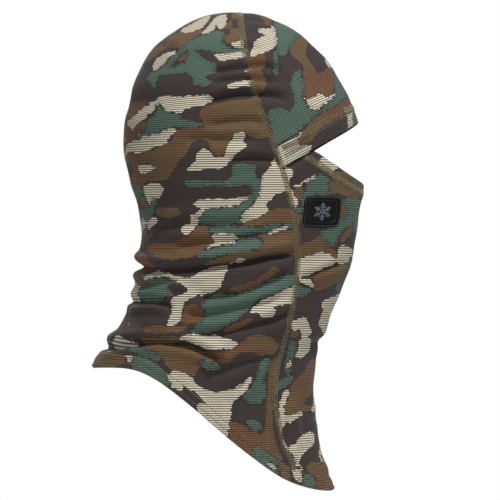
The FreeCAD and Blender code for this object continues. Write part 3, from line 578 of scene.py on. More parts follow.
def unrolled(f, z):
    """Side-view forward and height, opened out where the cloth turns away from the side."""
    s = np.where(z > DOME_BASE,
                 DOME_BASE + CROWN_RISE * np.arcsin(np.clip((z - DOME_BASE) / CROWN_RISE,
                                                            0, 0.999)), z)
    _, centre, depth, _ = ring(s)
    return np.stack([opened(np.arccos(np.clip((f - centre) / depth, -1, 1)), centre, depth), s],
                    -1)


def opened(turn, centre, depth):
    reach = np.cos(turn)
    reach = np.where(turn < TURN_IN, 0.8 + (TURN_IN - turn) * 0.85, reach)
    reach = np.where(turn > math.pi - TURN_IN, -0.8 - (turn - math.pi + TURN_IN) * 0.85, reach)
    return centre + depth * reach


def rounded(outline, times=2):
    """The outline with its corners cut, twice over."""
    for _ in range(times):
        following = np.roll(outline, -1, axis=0)
        outline = np.stack([0.75 * outline + 0.25 * following,
                            0.25 * outline + 0.75 * following], 1).reshape(-1, 2)
    return outline


def inside_by(outline, p, q):
    """How far inside a closed outline each point lies; outside is negative."""
    best, inside = np.full(p.shape, 1e9), np.zeros(p.shape, bool)
    for (ap, aq), (bp, bq) in zip(outline, np.roll(outline, -1, axis=0)):
        dp, dq = bp - ap, bq - aq
        t = np.clip(((p - ap) * dp + (q - aq) * dq) / (dp * dp + dq * dq + 1e-9), 0, 1)
        best = np.minimum(best, (p - ap - t * dp) ** 2 + (q - aq - t * dq) ** 2)
        crosses = (aq > q) != (bq > q)
        inside ^= crosses & (p < ap + (q - aq) / (bq - aq + 1e-12) * dp)
    return np.where(inside, 1, -1) * np.sqrt(best)


def paint(fields, p, q, patches):
    """Lays patches over the fields, later ones on top."""
    for colour, outline in patches:
        low, high = outline.min(0) - FAR, outline.max(0) + FAR
        near = np.flatnonzero((p > low[0]) & (p < high[0]) & (q > low[1]) & (q < high[1]))
        if not len(near):
            continue
        depth = inside_by(outline, p[near], q[near])
        for name in COLOURS:
            old = fields[name][near]
            fields[name][near] = np.maximum(old,
                                            depth) if name == colour else np.minimum(old, -depth)


def drawn(patches):
    return [(patch[0], rounded(unrolled(*np.array(patch[1:], float).T))) for patch in patches]


def scattered(seed, count, low, high, ground=0.18):
    """Patches of the same character for the cloth round the corner, as (run, height) outlines."""
    random, patches = np.random.default_rng(seed), []
    turn = np.linspace(0, 2 * math.pi, 15)[:-1]
    for _ in range(count):
        colour = random.choice(["dark", "brown", "green", "sand"], p=[ground, 0.34, 0.26, 0.22])
        length = random.uniform(12, 31) * (0.75 if colour == "sand" else 1.0)
        height, lean = random.uniform(5, 10), random.uniform(-0.35, 0.45)
        lobes = 1.0
        for size, bumps in ((0.32, 2), (0.24, 3), (0.18, 5)):
            lobes = lobes + size * np.sin(bumps * turn + random.uniform(0, 6))
        p, q = length * lobes * np.cos(turn), height * lobes * np.sin(turn)
        spot = [random.uniform(low[k], high[k]) for k in (0, 1)]
        patches.append((colour, rounded(np.stack([spot[0] + p, spot[1] + q + lean * p], -1))))
    return patches


print("a patch outline has", len(drawn(SIDE_PRINT[:1])[0][1]), "corners after rounding")

# %% [markdown]
# ## Cutting the panels
#
# A panel is a grid of points on the surface. Its columns run from one seam to the next, and each
# column is cut off exactly where it meets a hem, found by halving the distance again and again.
# The grid is made twice, outside and inside, 0.8 mm apart, and the two are joined round the rim,
# so that the cloth has a thickness and a fleece reverse of its own material.

# %% Grid helpers
CLOTH = 0.8
SPACING = 2.0
EDGE_STEPS = np.array([0, 0.15, 0.4, 0.8, 1.4, 2.2])


def side_columns(sign):
    """Columns of a side panel: 0 at the side seam, 1 at the centre back."""
    return lambda a, s: sign * (seam_turn(s) + (math.pi - seam_turn(s)) * a)


def front_columns(a, s):
    """Columns between the side seams: -1 on the wearer's right, 1 on the left."""
    return a * seam_turn(s)


def level_where(turn_of, a, edge, low, high):
    """The level on each column where a distance from an edge, rising with height, is zero."""
    low, high = np.full(a.shape, float(low)), np.full(a.shape, float(high))
    for _ in range(40):
        middle = (low + high) / 2
        f, z, _ = bare(turn_of(a, middle), middle)
        below = edge(f, z) < 0
        low, high = np.where(below, middle, low), np.where(below, high, middle)
    return (low + high) / 2


def row_steps(length, fine_low, fine_high):
    """Fractions of a column, close together at a hemmed end and even elsewhere."""
    low = EDGE_STEPS / length if fine_low else np.array([0.0])
    high = 1 - EDGE_STEPS[::-1] / length if fine_high else np.array([1.0])
    count = int(round((high[0] - low[-1]) * length / SPACING))
    return np.concatenate([low[:-1], np.linspace(low[-1], high[0], count + 1), high[1:]])


def rolled(gap):
    """One at a folded edge, nothing 1.4 mm away from it, round between."""
    t = np.clip(gap / 1.4, 0, 1)
    return 1 - np.sqrt(np.clip(1 - (1 - t) ** 2, 0, 1))


def shell(name, outer, inner):
    """A closed mesh from two grids of points: outside, inside and the rim between them."""
    rows, columns = outer.shape[:2]
    index = np.arange(rows * columns).reshape(rows, columns)
    quads = np.stack([index[:-1, :-1], index[:-1, 1:], index[1:, 1:], index[1:, :-1]],
                     -1).reshape(-1, 4)
    far = index + rows * columns
    back = np.stack([far[:-1, :-1], far[1:, :-1], far[1:, 1:], far[:-1, 1:]], -1).reshape(-1, 4)
    loop = np.concatenate([index[0], index[1:, -1], index[-1, -2::-1], index[-2:0:-1, 0]])
    next_one = np.roll(loop, -1)
    rim = np.stack([next_one, loop, loop + rows * columns, next_one + rows * columns], -1)
    points = np.concatenate([outer.reshape(-1, 3), inner.reshape(-1, 3)])
    faces = np.concatenate([quads, back, rim])
    centre = outer.reshape(-1, 3).mean(0)
    a, b, c = outer[rows // 2, columns // 2], outer[rows // 2,
                                                    columns // 2 + 1], outer[rows // 2 + 1,
                                                                             columns // 2]
    away = np.array([centre[0], centre[1], 0]) if abs(centre[0]) + abs(centre[1]) > 1e-6 else a
    if np.dot(np.cross(b - a, c - a), away) < 0:
        faces = faces[:, ::-1]
    mesh = bpy.data.meshes.new(name)
    mesh.from_pydata(points.tolist(), [], faces.tolist())
    mesh.update()
    mesh.polygons.foreach_set("use_smooth", [True] * len(faces))
    slots = np.zeros(len(faces), int)
    slots[len(quads):len(quads) + len(back)] = 1
    mesh.polygons.foreach_set("material_index", slots)
    piece = bpy.data.objects.new(name, mesh)
    bpy.context.collection.objects.link(piece)
    return piece


def carry(piece, **values):
    """Stores numbers on every point of the piece, for its material to read."""
    for name, value in values.items():
        layer = piece.data.attributes.new(name, "FLOAT", "POINT")
        layer.data.foreach_set("value", np.asarray(value, np.float32).ravel())


def cloth_area(piece):
    areas = np.zeros(len(piece.data.polygons))
    piece.data.polygons.foreach_get("area", areas)
    return areas.sum() / 2


print("columns meet the bottom hem at",
      level_where(side_columns(1), np.array([0.0, 0.5, 1.0]), above_hem, -289, -100).round(1))

# %% How each panel swells at its hems
def smooth_step(t):
    t = np.clip(t, 0, 1)
    return t * t * (3 - 2 * t)


def side_swell(f, z):
    return hem_puff(above_hem(f, z), BOTTOM_HEM, BOTTOM_ROWS)


def forehead_swell(f, z):
    return hem_puff(above_brow(f, z), BROW_HEM, BROW_ROWS)


def front_swell(f, z):
    under_brow = -2.9 * smooth_step((above_brow(f, z) + 5) / 5)
    return side_swell(f, z) + hem_puff(below_mask_edge(f, z), MASK_HEM, MASK_ROWS) + under_brow


def seam_swell(f, z):
    """The cloth on either side of the side seam, for the threads that lie over it."""
    ahead = np.where(above_brow(f, z) > -0.5, forehead_swell(f, z), front_swell(f, z))
    return np.where(f > seam_forward(z), ahead, side_swell(f, z))


print("mid-hem swell", round(float(hem_puff(np.array(7.0), BOTTOM_HEM, BOTTOM_ROWS)), 2), "mm")

# %% Ribs and print on a panel
LEAN = 34.0
BROW_RIB = math.radians(27)


def print_fields(u, s, zones, scatter, left_flip=False, across_middle=False):
    """The print's distances at every point. Zones are (test, patches); a test picks its points."""
    height, centre, depth, width = ring(s)
    turn = np.abs(u)
    p, q = opened(turn, centre, depth), np.array(s, float)
    q = np.where(left_flip & (u > 0), -90 - q, q)
    f, z, _ = bare(u, s)
    around = u * 95.0
    fields = {name: np.full(s.size, -FAR) for name in COLOURS}
    for test, patches, seed in zones:
        picked = np.flatnonzero(test(f, z).ravel())
        part = {name: np.full(len(picked), -FAR) for name in COLOURS}
        paint(part, p.ravel()[picked], q.ravel()[picked], drawn(patches))
        if across_middle:
            level = np.array(s, float).ravel()[picked]
            side = -around.ravel()[picked] - 5 + 4 * np.sin(level / 7) + 3 * np.sin(level / 17 + 1)
            part = {name: np.minimum(value, side) for name, value in part.items()}
        for low, high, count in scatter:
            paint(part, around.ravel()[picked], np.array(s).ravel()[picked],
                  scattered(seed, count, low, high))
        for name in COLOURS:
            fields[name][picked] = part[name]
    return fields


def side_ribs(u, s):
    """The rib lines of a side panel sag towards the back of the crown."""
    back = np.clip(-np.cos(u), 0, 1)
    return s + LEAN * smooth_step((s - DOME_BASE) / 90) * back * back


def forehead_ribs(u, s):
    """The forehead's ribs climb to the front, beside the brow edge."""
    f, _, _ = bare(u, s)
    return s * math.cos(BROW_RIB) - f * math.sin(BROW_RIB)


def panel(name, turn_of, a, low, high, swell, hem_gap, ribs, zones, scatter, flip=False):
    """A whole panel: its grid, its print and its ribs."""
    length = float(np.median(high - low))
    steps = row_steps(length, True, high.max() < TOP - 1)
    s = low[None, :] + (high - low)[None, :] * steps[:, None]
    u = turn_of(np.broadcast_to(a, s.shape), s)
    f, z, _ = bare(u, s)
    roll = rolled(hem_gap(f, z))
    outer, _ = point(u, s, -0.9 * roll, swell)
    inner, _ = point(u, s, -CLOTH - 0.1 * roll, swell)
    piece = shell(name, outer, inner)
    fields = print_fields(u, s, zones, scatter, flip, u.min() < 0 < u.max())
    rib = ribs(u, s).ravel()
    run = (u * 88.0).ravel()
    wear = np.exp(-np.clip(hem_gap(f, z), 0, None) / 1.3).ravel()
    both = {key: np.tile(value, 2) for key, value in fields.items()}
    carry(piece, rib=np.tile(rib, 2), run=np.tile(run, 2), wear=np.tile(wear, 2), **both)
    print(f"{name}: {outer.shape[1]} columns, {outer.shape[0]} rows,",
          f"cloth {cloth_area(piece):.4f} square metres")
    return piece


print("ribs at the temple and crown:",
      side_ribs(np.array([1.5, 2.8]), np.array([0.0, 150.0])).round(1))

# %% The two side panels
def in_hem(f, z):
    return above_hem(f, z) < BOTTOM_HEM


def over_hem(f, z):
    return above_hem(f, z) >= BOTTOM_HEM


side_a = np.linspace(0, 1, 112)
side_low = level_where(side_columns(1), side_a, above_hem, -289, -100)
side_high = np.full(side_a.shape, TOP)
right_side = panel("side_cloth_right", side_columns(-1), side_a, side_low, side_high, side_swell,
                   above_hem, side_ribs,
                   [(over_hem, SIDE_PRINT, 5), (in_hem, BOTTOM_PRINT, 6)],
                   [((-298, -170), (-250, 200), 26)])
left_side = panel("side_cloth_left", side_columns(1), side_a, side_low, side_high, side_swell,
                  above_hem, side_ribs,
                  [(over_hem, SIDE_PRINT, 8), (in_hem, BOTTOM_PRINT, 9)],
                  [((110, -270), (298, 196), 34)], flip=True)

# %% The forehead panel and the front panel
across = np.linspace(-1, 1, 131)
brow_low = level_where(front_columns, across, above_brow, -20, 120)
forehead = panel("forehead_cloth", front_columns, across, brow_low, np.full(across.shape, TOP),
                 forehead_swell,
                 above_brow, forehead_ribs,
                 [(lambda f, z: above_brow(f, z) >= BROW_HEM, FOREHEAD_PRINT, 12),
                  (lambda f, z: above_brow(f, z) < BROW_HEM, BROW_PRINT, 13)],
                 [((-10, -10), (175, 185), 74)])


def front_edges(f, z):
    return np.minimum(above_hem(f, z), below_mask_edge(f, z))


across = np.linspace(-1, 1, 109)
front_low = level_where(front_columns, across, above_hem, -289, -150)
front_high = level_where(front_columns, across, lambda f, z: -below_mask_edge(f, z), -60, 90)
front = panel("front_cloth", front_columns, across, front_low, front_high, front_swell,
              front_edges, side_ribs,
              [(lambda f, z: (above_hem(f, z) >= BOTTOM_HEM) & (below_mask_edge(f, z) >= MASK_HEM),
                FRONT_PRINT, 21),
               (lambda f, z: (above_hem(f, z) >= BOTTOM_HEM) & (below_mask_edge(f, z) < MASK_HEM),
                MASK_HEM_PRINT, 22),
               (in_hem, BOTTOM_PRINT, 23)],
              [((-10, -295), (150, 60), 92)])

# %% [markdown]
# ## The turned-in hems
#
# A folded hem has a second layer of cloth on the inside. Each is its own strip, as wide as the
# hem, that rolls up to meet the panel at the edge.

# %% Inner strips of the hems
def band(name, turn_of, a, edge, swell, width, low_at, high_at, ribs, rising=True):
    """The inner layer of a hem, from the fold to its raw edge."""
    fractions = np.concatenate([EDGE_STEPS, np.linspace(EDGE_STEPS[-1], width, 9)[1:]])
    sign = 1 if rising else -1
    levels = [level_where(turn_of, a, lambda f, z, gap=gap: sign * (edge(f, z) - gap), low_at,
                          high_at)
              for gap in fractions]
    s = np.stack(levels)
    u = turn_of(np.broadcast_to(a, s.shape), s)
    f, z, _ = bare(u, s)
    roll = rolled(edge(f, z))
    outer, _ = point(u, s, -CLOTH - 0.15, swell)
    inner, _ = point(u, s, -2 * CLOTH - 0.15 + 0.75 * roll, swell)
    piece = shell(name, outer, inner)
    rib, run = ribs(u, s).ravel(), (u * 88.0).ravel()
    wear = np.exp(-np.clip(edge(f, z), 0, None) / 1.3).ravel()
    fields = {key: np.full(rib.size, -FAR) for key in COLOURS}
    paint(fields, (u * 95).ravel(), s.ravel(), scattered(31, 150, (-298, -290), (298, 190)))
    both = {key: np.tile(value, 2) for key, value in fields.items()}
    carry(piece, rib=np.tile(rib, 2), run=np.tile(run, 2), wear=np.tile(wear, 2), **both)
    print(name, "strip of", round(cloth_area(piece) * 1e4, 1), "square cm")
    return piece


brow_fold = band("brow_fold", front_columns, np.linspace(-1, 1, 131), above_brow, forehead_swell,
                 BROW_HEM, -20, 130,
                 forehead_ribs)
mask_fold = band("mask_fold", front_columns, np.linspace(-1, 1, 109), below_mask_edge, front_swell,
                 MASK_HEM, -90, 90,
                 side_ribs, rising=False)
bottom_folds = {
    "front": band("bottom_fold_front", front_columns, np.linspace(-1, 1, 80), above_hem,
                  front_swell, BOTTOM_HEM, -289,
                  -150, side_ribs),
    "left": band("bottom_fold_left", side_columns(1), side_a, above_hem, side_swell, BOTTOM_HEM,
                 -289, -90, side_ribs),
    "right": band("bottom_fold_right", side_columns(-1), side_a, above_hem, side_swell, BOTTOM_HEM,
                  -289, -90,
                  side_ribs),
}

# %% [markdown]
# ## Threads
#
# The flat seams are covered by a ladder: two rows of needle stitches with a cover thread that
# crosses between them. A hem has two rows of needle stitches outside and a looping thread inside.
# Each thread is a thin tube that follows a path on the cloth and dips through it at each stitch.

# %% Thread helpers
STITCH = 2.7
PER_STITCH = 6
THREAD = 0.2


def even_path(u, s, step, extra=None):
    """The same line on the cloth with its points a fixed step (mm) apart."""
    place, _ = point(u, s, 0.0, extra)
    lengths = np.concatenate([[0], np.cumsum(np.linalg.norm(np.diff(place, axis=0), axis=1))]) / MM
    count = int(lengths[-1] / step)
    even = np.linspace(0, lengths[-1], count + 1)
    return np.interp(even, lengths, u), np.interp(even, lengths, s)


def tube(path, normal, radius, sides=5):
    """Points and faces of a thin tube along a path; its first side faces the normal."""
    tangent = np.gradient(path, axis=0)
    tangent /= np.linalg.norm(tangent, axis=1, keepdims=True) + 1e-12
    across_way = np.cross(normal, tangent)
    across_way /= np.linalg.norm(across_way, axis=1, keepdims=True) + 1e-12
    upright = np.cross(tangent, across_way)
    angle = np.arange(sides) / sides * 2 * math.pi
    ring_points = (path[:, None] + radius * MM * (np.cos(angle)[None, :, None] * upright[:, None]
                                                  + np.sin(angle)[None, :, None] * across_way[:,
            None]))
    n = len(path)
    index = np.arange(n * sides).reshape(n, sides)
    after = np.roll(index, -1, axis=1)
    faces = np.stack([index[:-1], after[:-1], after[1:], index[1:]], -1).reshape(-1, 4)
    return ring_points.reshape(-1, 3), faces


def stitched(name, tubes):
    """One object from many tubes: (points, faces, material slot)."""
    points, faces, slots, start = [], [], [], 0
    for tube_points, tube_faces, slot in tubes:
        points.append(tube_points)
        faces.append(tube_faces + start)
        slots += [slot] * len(tube_faces)
        start += len(tube_points)
    mesh = bpy.data.meshes.new(name)
    mesh.from_pydata(np.concatenate(points).tolist(), [], np.concatenate(faces).tolist())
    mesh.update()
    mesh.polygons.foreach_set("use_smooth", [True] * len(mesh.polygons))
    mesh.polygons.foreach_set("material_index", slots)
    piece = bpy.data.objects.new(name, mesh)
    bpy.context.collection.objects.link(piece)
    print(name, len(mesh.polygons), "faces")
    return piece


def needle_row(u, s, extra, lift=0.2):
    """Straight stitches: the thread shows between two holes and dips into each."""
    u, s = even_path(u, s, STITCH / PER_STITCH, extra)
    phase = np.arange(len(u)) / PER_STITCH * 2 * math.pi
    place, normal = point(u, s, lift + 0.28 * np.cos(phase), extra)
    return (*tube(place, normal, THREAD), 0)


def crossing(u_a, s_a, u_b, s_b, extra, shift=0.0, lift=0.3, slot=1, pace=1.0):
    """A thread that swings between two lines on the cloth, once there and back per stitch."""
    count = int(len(u_a))
    phase = (np.arange(count) / PER_STITCH * pace + shift) % 1.0
    swing = np.abs(2 * phase - 1)
    u, s = u_a * (1 - swing) + u_b * swing, s_a * (1 - swing) + s_b * swing
    place, normal = point(u, s, lift, extra)
    return (*tube(place, normal, THREAD * 0.8, 4), slot)


print("a stitch is", STITCH, "mm long")

# %% Flat seams
def seam_ladder(name, base_turn, sign, low, high, extra):
    """Two needle rows and two crossing threads over a seam that runs up the hood."""
    s = np.linspace(low, high, 700)
    u, s = even_path(base_turn(s), s, STITCH / PER_STITCH, extra)
    _, _, depth, width = ring(s)
    reach = np.sqrt((depth * np.sin(u)) ** 2 + (width * np.cos(u)) ** 2)
    half = SEAM_HALF / np.maximum(reach, SEAM_HALF)
    left, right = u - sign * half, u + sign * half
    rows = [needle_row(left, s, extra, 0.3), needle_row(right, s, extra, 0.3)]
    rows += [crossing(left, s, right, s, extra, shift, 0.12) for shift in (0.0, 0.5)]
    return stitched(name, rows)


SEAM_FOOT = level_where(side_columns(1), np.array([0.0]), lambda f,
                        z: above_hem(f, z) - BOTTOM_HEM, -289, -100)[0]
BACK_FOOT = level_where(side_columns(1), np.array([1.0]), lambda f,
                        z: above_hem(f, z) - BOTTOM_HEM, -289, -100)[0]
front_seams = {side: seam_ladder(f"front_ladder_{side}", lambda s, sign=sign: sign * seam_turn(s),
                                 sign, SEAM_FOOT,
                                 TOP - 4, seam_swell) for side,
                                 sign in (("left", 1), ("right", -1))}
back_seam = seam_ladder("back_ladder", lambda s: np.full(s.shape, math.pi), 1, BACK_FOOT, TOP - 4,
                        side_swell)

# %% Hem stitches
def hem_line(turn_of, a, edge, gap, low, high, rising=True):
    sign = 1 if rising else -1
    s = level_where(turn_of, a, lambda f, z: sign * (edge(f, z) - gap), low, high)
    return turn_of(a, s), s


def hem_stitches(name, runs, covered=True):
    """Two needle rows on each run of hem, a looping thread inside it and cover threads outside."""
    tubes = []
    for turn_of, a, edge, swell, rows, low, high, rising in runs:
        lines = [hem_line(turn_of, a, edge, row, low, high, rising) for row in rows]
        tubes += [needle_row(u, s, swell) for u, s in lines]
        u_a, s_a = even_path(*lines[0], STITCH / PER_STITCH, swell)
        t = np.linspace(0, 1, len(u_a))
        old = np.linspace(0, 1, len(lines[1][0]))
        u_b, s_b = np.interp(t, old, lines[1][0]), np.interp(t, old, lines[1][1])
        if covered:
            tubes += [crossing(u_a, s_a, u_b, s_b, swell, shift, 0.1) for shift in (0.0, 0.5)]
        tubes.append(crossing(u_a, s_a, u_b, s_b, swell, 0.0, -2 * CLOTH - 0.4))
    return stitched(name, tubes)


fine = np.linspace(-1, 1, 500)
clear_of_seam = fine * 0.955
brow_stitches = hem_stitches("brow_stitches",
                             [(front_columns, clear_of_seam, above_brow, forehead_swell, BROW_ROWS,
                               -20, 130, True)])
mask_stitches = hem_stitches("mask_stitches",
                             [(front_columns, clear_of_seam, below_mask_edge, front_swell,
                               MASK_ROWS, -90, 90, False)])
quarter = np.linspace(0, 1, 400)
bottom_stitches = hem_stitches("bottom_stitches", [
    (front_columns, fine, above_hem, front_swell, BOTTOM_ROWS, -289, -150, True),
    (side_columns(1), quarter, above_hem, side_swell, BOTTOM_ROWS, -289, -90, True),
    (side_columns(-1), quarter, above_hem, side_swell, BOTTOM_ROWS, -289, -90, True)],
    covered=False)

# %% Bartacks at the temples
TACK_REACH = (0.74, 0.95)
TACK_GAPS = (6.0, 8.0, 10.0, 12.6, 14.4)


def tack(sign):
    """Dense threads that sew the mask's corner under the brow hem."""
    tubes = []
    a = sign * np.linspace(*TACK_REACH, 60)
    for number, gap in enumerate(TACK_GAPS):
        near = hem_line(front_columns, a, above_brow, gap, -20, 130)
        far = hem_line(front_columns, a, above_brow, gap + 1.5, -20, 130)
        tubes.append(crossing(near[0], near[1], far[0], far[1], forehead_swell, 0.3 * number, 0.25,
                              0, pace=2.4))
    return tubes


temple_tacks = stitched("temple_tacks", tack(1) + tack(-1))

# %% [markdown]
# ## The care label
#
# A blank strip of satin tape is sewn inside the centre back, just below the nape. It lies against
# the fleece and its free end curls a little.

# %% Care label
def label_grid(lift):
    t = np.linspace(0, 1, 25)[:, None]
    w = np.linspace(-1, 1, 15)[None, :]
    s = -112 - 32 * t + 0 * w
    u = math.pi + 12.0 / 78 * w + 0 * t
    curl = 0.9 * smooth_step((t - 0.55) / 0.45) + 0.25 * np.sin(5 * t) * w
    return point(u, s, -CLOTH - 0.25 - curl - lift, side_swell)[0]


label = shell("neck_label", label_grid(0.0), label_grid(0.25))
carry(label, rib=np.tile((np.linspace(0, 32, 25)[:, None] + np.zeros((25, 15))).ravel(), 2),
      run=np.tile((np.zeros((25, 1)) + np.linspace(-12, 12, 15)[None, :]).ravel(), 2))
print("label:", tuple(round(v * 1000) for v in label.dimensions), "mm")

# %% [markdown]
# ## The moulded patch
#
# The patch is soft black rubber, sewn on the right cheek. It has a rounded outline, a fine raised
# frame and a six-armed snow crystal in the middle. Rings of points are laid from the middle to
# the rim, and each ring has its own height, which gives the rounded edge and the sunk field.

# %% Patch body
PATCH_MIDDLE, PATCH_HALF, PATCH_SHEAR = (65.3, -36.0), (15.2, 12.6), 0.10
PATCH_LIFT = 1.15


def on_cheek(p, q, lift):
    """A point of the flat patch, p forward and q up from its middle, laid on the right cheek."""
    f, z = PATCH_MIDDLE[0] + p + PATCH_SHEAR * q, PATCH_MIDDLE[1] + q
    _, centre, depth, _ = ring(z)
    u = -np.arccos(np.clip((f - centre) / depth, -0.999, 0.999))
    _, normal = point(u, z)
    f0, z0, x0 = bare(u, z)
    rise = 0.35 * folds(f0, z0, x0) + 0.4 + lift
    return np.stack([x0, -f0, z0], -1) * MM + normal * (np.asarray(rise) * MM)[..., None]


def rounded_outline(scale, count=96):
    """Points round a rectangle with rounded corners, shrunk towards its middle."""
    t = np.linspace(0, 2 * math.pi, count, endpoint=False)
    c, s = np.cos(t), np.sin(t)
    wide, tall = PATCH_HALF
    radius = 1 / (np.abs(c / wide) ** 7 + np.abs(s / tall) ** 7) ** (1 / 7)
    return scale * radius * c, scale * radius * s


PATCH_RINGS = [(1.0, -0.9), (1.0, 0.0), (0.995, 0.75), (0.98, 1.0), (0.95, PATCH_LIFT),
               (0.90, PATCH_LIFT),
               (0.885, 0.9), (0.85, 0.9), (0.835, PATCH_LIFT), (0.80, PATCH_LIFT),
               (0.6, PATCH_LIFT),
               (0.4, PATCH_LIFT), (0.2, PATCH_LIFT)]


def ring_mesh(name, rings, closed_middle):
    """Nested outlines joined into a skin; the last is closed with a point if asked."""
    points, faces, count = [], [], 96
    for scale, lift in rings:
        p, q = rounded_outline(scale, count)
        points.append(on_cheek(p, q, lift))
    index = np.arange(len(rings) * count).reshape(len(rings), count)
    after = np.roll(index, -1, axis=1)
    faces = np.stack([index[:-1], after[:-1], after[1:], index[1:]], -1).reshape(-1, 4).tolist()
    verts = np.concatenate(points).tolist()
    if closed_middle:
        verts.append(on_cheek(np.array(0.0), np.array(0.0), np.array(rings[-1][1])).tolist())
        faces += [[a, b, len(verts) - 1] for a, b in zip(index[-1].tolist(), after[-1].tolist())]
    mesh = bpy.data.meshes.new(name)
    mesh.from_pydata(verts, [], faces)
    mesh.update()
    mesh.polygons.foreach_set("use_smooth", [True] * len(mesh.polygons))
    piece = bpy.data.objects.new(name, mesh)
    bpy.context.collection.objects.link(piece)
    return piece


patch_body = ring_mesh("patch_body", PATCH_RINGS, True)
patch_frame = ring_mesh("patch_frame",
                        [(0.765, 1.05), (0.76, 1.42), (0.75, 1.5), (0.735, 1.5), (0.725, 1.42),
                         (0.72, 1.05)], False)
print("patch:", [round(v * 1000, 1) for v in patch_body.dimensions], "mm")

# %% Snow crystal and patch stitches
def bar(start, end, half, low=1.0, high=1.55):
    """One arm of the crystal: a long mound with a rounded top, from start to end."""
    start, end = np.array(start, float), np.array(end, float)
    way = (end - start) / np.linalg.norm(end - start)
    side = np.array([-way[1], way[0]])
    t = np.linspace(0, 1, 9)[:, None]
    profile = [(-1.0, low), (-1.0, high - 0.15), (-0.8, high - 0.03), (0.0, high),
               (0.8, high - 0.03),
               (1.0, high - 0.15), (1.0, low)]
    across_steps = np.array([w for w, _ in profile])[None, :]
    lifts = np.array([h for _, h in profile])[None, :] + 0 * t
    taper = np.where((t < 0.001) | (t > 0.999), 0.6, 1.0)
    p = start[0] + way[0] * np.linalg.norm(end - start) * t + side[0] * half * across_steps * taper
    q = start[1] + way[1] * np.linalg.norm(end - start) * t + side[1] * half * across_steps * taper
    lifts[0], lifts[-1] = np.minimum(lifts[0], low + 0.1), np.minimum(lifts[-1], low + 0.1)
    points = on_cheek(p, q, lifts)
    index = np.arange(p.size).reshape(p.shape)
    faces = np.stack([index[:-1, :-1], index[1:, :-1], index[1:, 1:], index[:-1, 1:]],
                     -1).reshape(-1, 4)
    return points.reshape(-1, 3), faces, 0


bars = []
for arm in range(6):
    turn = math.radians(60 * arm + 30)
    way, side = np.array([math.cos(turn),
                          math.sin(turn)]), np.array([-math.sin(turn), math.cos(turn)])
    bars.append(bar(0.4 * way, 7.6 * way, 0.62))
    for reach, spread in ((3.0, 2.1), (5.0, 1.5)):
        for hand in (1, -1):
            bars.append(bar(reach * way, (reach + 0.75 * spread) * way + hand * spread * side,
                            0.42))
crystal = stitched("patch_crystal", bars)


def patch_seam():
    """A run of small stitches just inside the rim of the patch."""
    p, q = rounded_outline(0.925, 264)
    p, q = np.append(p, p[0]), np.append(q, q[0])
    wave = 0.28 * np.cos(np.arange(len(p)) / 6 * 2 * math.pi)
    path = on_cheek(p, q, PATCH_LIFT + 0.1 + wave)
    raised = on_cheek(p, q, PATCH_LIFT + 1.1 + wave)
    normal = (raised - path) / np.linalg.norm(raised - path, axis=1, keepdims=True)
    return (*tube(path, normal, 0.26), 0)


patch_threads = stitched("patch_threads", [patch_seam()])

# %% [markdown]
# ## Materials
#
# Effects that several finishes share are node groups: the print, the rib lines, the fine grain of
# the yarn and the wear along edges. Each gives out only colours, masks and heights. The shaders
# themselves stay in the materials.

# %% Node helpers
def shade(red, green, blue):
    """A colour as the eye reads it (0 to 255), as the renderer needs it."""
    parts = [v / 255 for v in (red, green, blue)]
    return tuple(v / 12.92 if v <= 0.04045 else ((v + 0.055) / 1.055) ** 2.4
                 for v in parts) + (1.0,)


def feed(tree, socket, value):
    if isinstance(value, bpy.types.NodeSocket):
        tree.links.new(value, socket)
    elif value is not None:
        socket.default_value = value


def node(tree, kind, inputs=(), **settings):
    """A new node with its settings and its inputs, by name or by number."""
    item = tree.nodes.new(kind)
    for key, value in settings.items():
        setattr(item, key, value)
    for key, value in dict(inputs).items():
        feed(tree, item.inputs[key], value)
    return item


def maths(tree, operation, *values, clamp=False):
    item = node(tree, "ShaderNodeMath", dict(enumerate(values)), operation=operation,
                use_clamp=clamp)
    return item.outputs[0]


def carried(tree, name):
    """A number that the mesh carries on its points."""
    return node(tree, "ShaderNodeAttribute", attribute_name=name).outputs["Fac"]


def vector(tree, x, y, z=0.0):
    return node(tree, "ShaderNodeCombineXYZ", {0: x, 1: y, 2: z}).outputs[0]


def noise(tree, where, scale, detail=2.0, roughness=0.5):
    return node(tree, "ShaderNodeTexNoise", {"Vector": where, "Scale": scale, "Detail": detail,
                                             "Roughness": roughness}).outputs["Fac"]


def remap(tree, value, low, high, to_low=0.0, to_high=1.0, smooth=True):
    item = node(tree, "ShaderNodeMapRange", {0: value, 1: low, 2: high, 3: to_low, 4: to_high},
                interpolation_type="SMOOTHSTEP" if smooth else "LINEAR")
    return item.outputs[0]


def blended(tree, factor, a, b, mode="MIX"):
    item = node(tree, "ShaderNodeMix", {0: factor, 6: a, 7: b}, data_type="RGBA", blend_type=mode)
    return item.outputs[2]


def group(name, inputs, outputs):
    """An empty node group with named sockets; returns it with its input and output nodes."""
    tree = bpy.data.node_groups.new(name, "ShaderNodeTree")
    for socket, kind, value in inputs:
        item = tree.interface.new_socket(socket, in_out="INPUT", socket_type=kind)
        item.default_value = value
    for socket, kind in outputs:
        tree.interface.new_socket(socket, in_out="OUTPUT", socket_type=kind)
    return tree, tree.nodes.new("NodeGroupInput"), tree.nodes.new("NodeGroupOutput")


def placed(tree, made, **values):
    item = node(tree, "ShaderNodeGroup", node_tree=made)
    for key, value in values.items():
        feed(tree, item.inputs[key.replace("_", " ")], value)
    return item


FLOAT, COLOUR = "NodeSocketFloat", "NodeSocketColor"
print("mid grey is", round(shade(128, 128, 128)[0], 3))

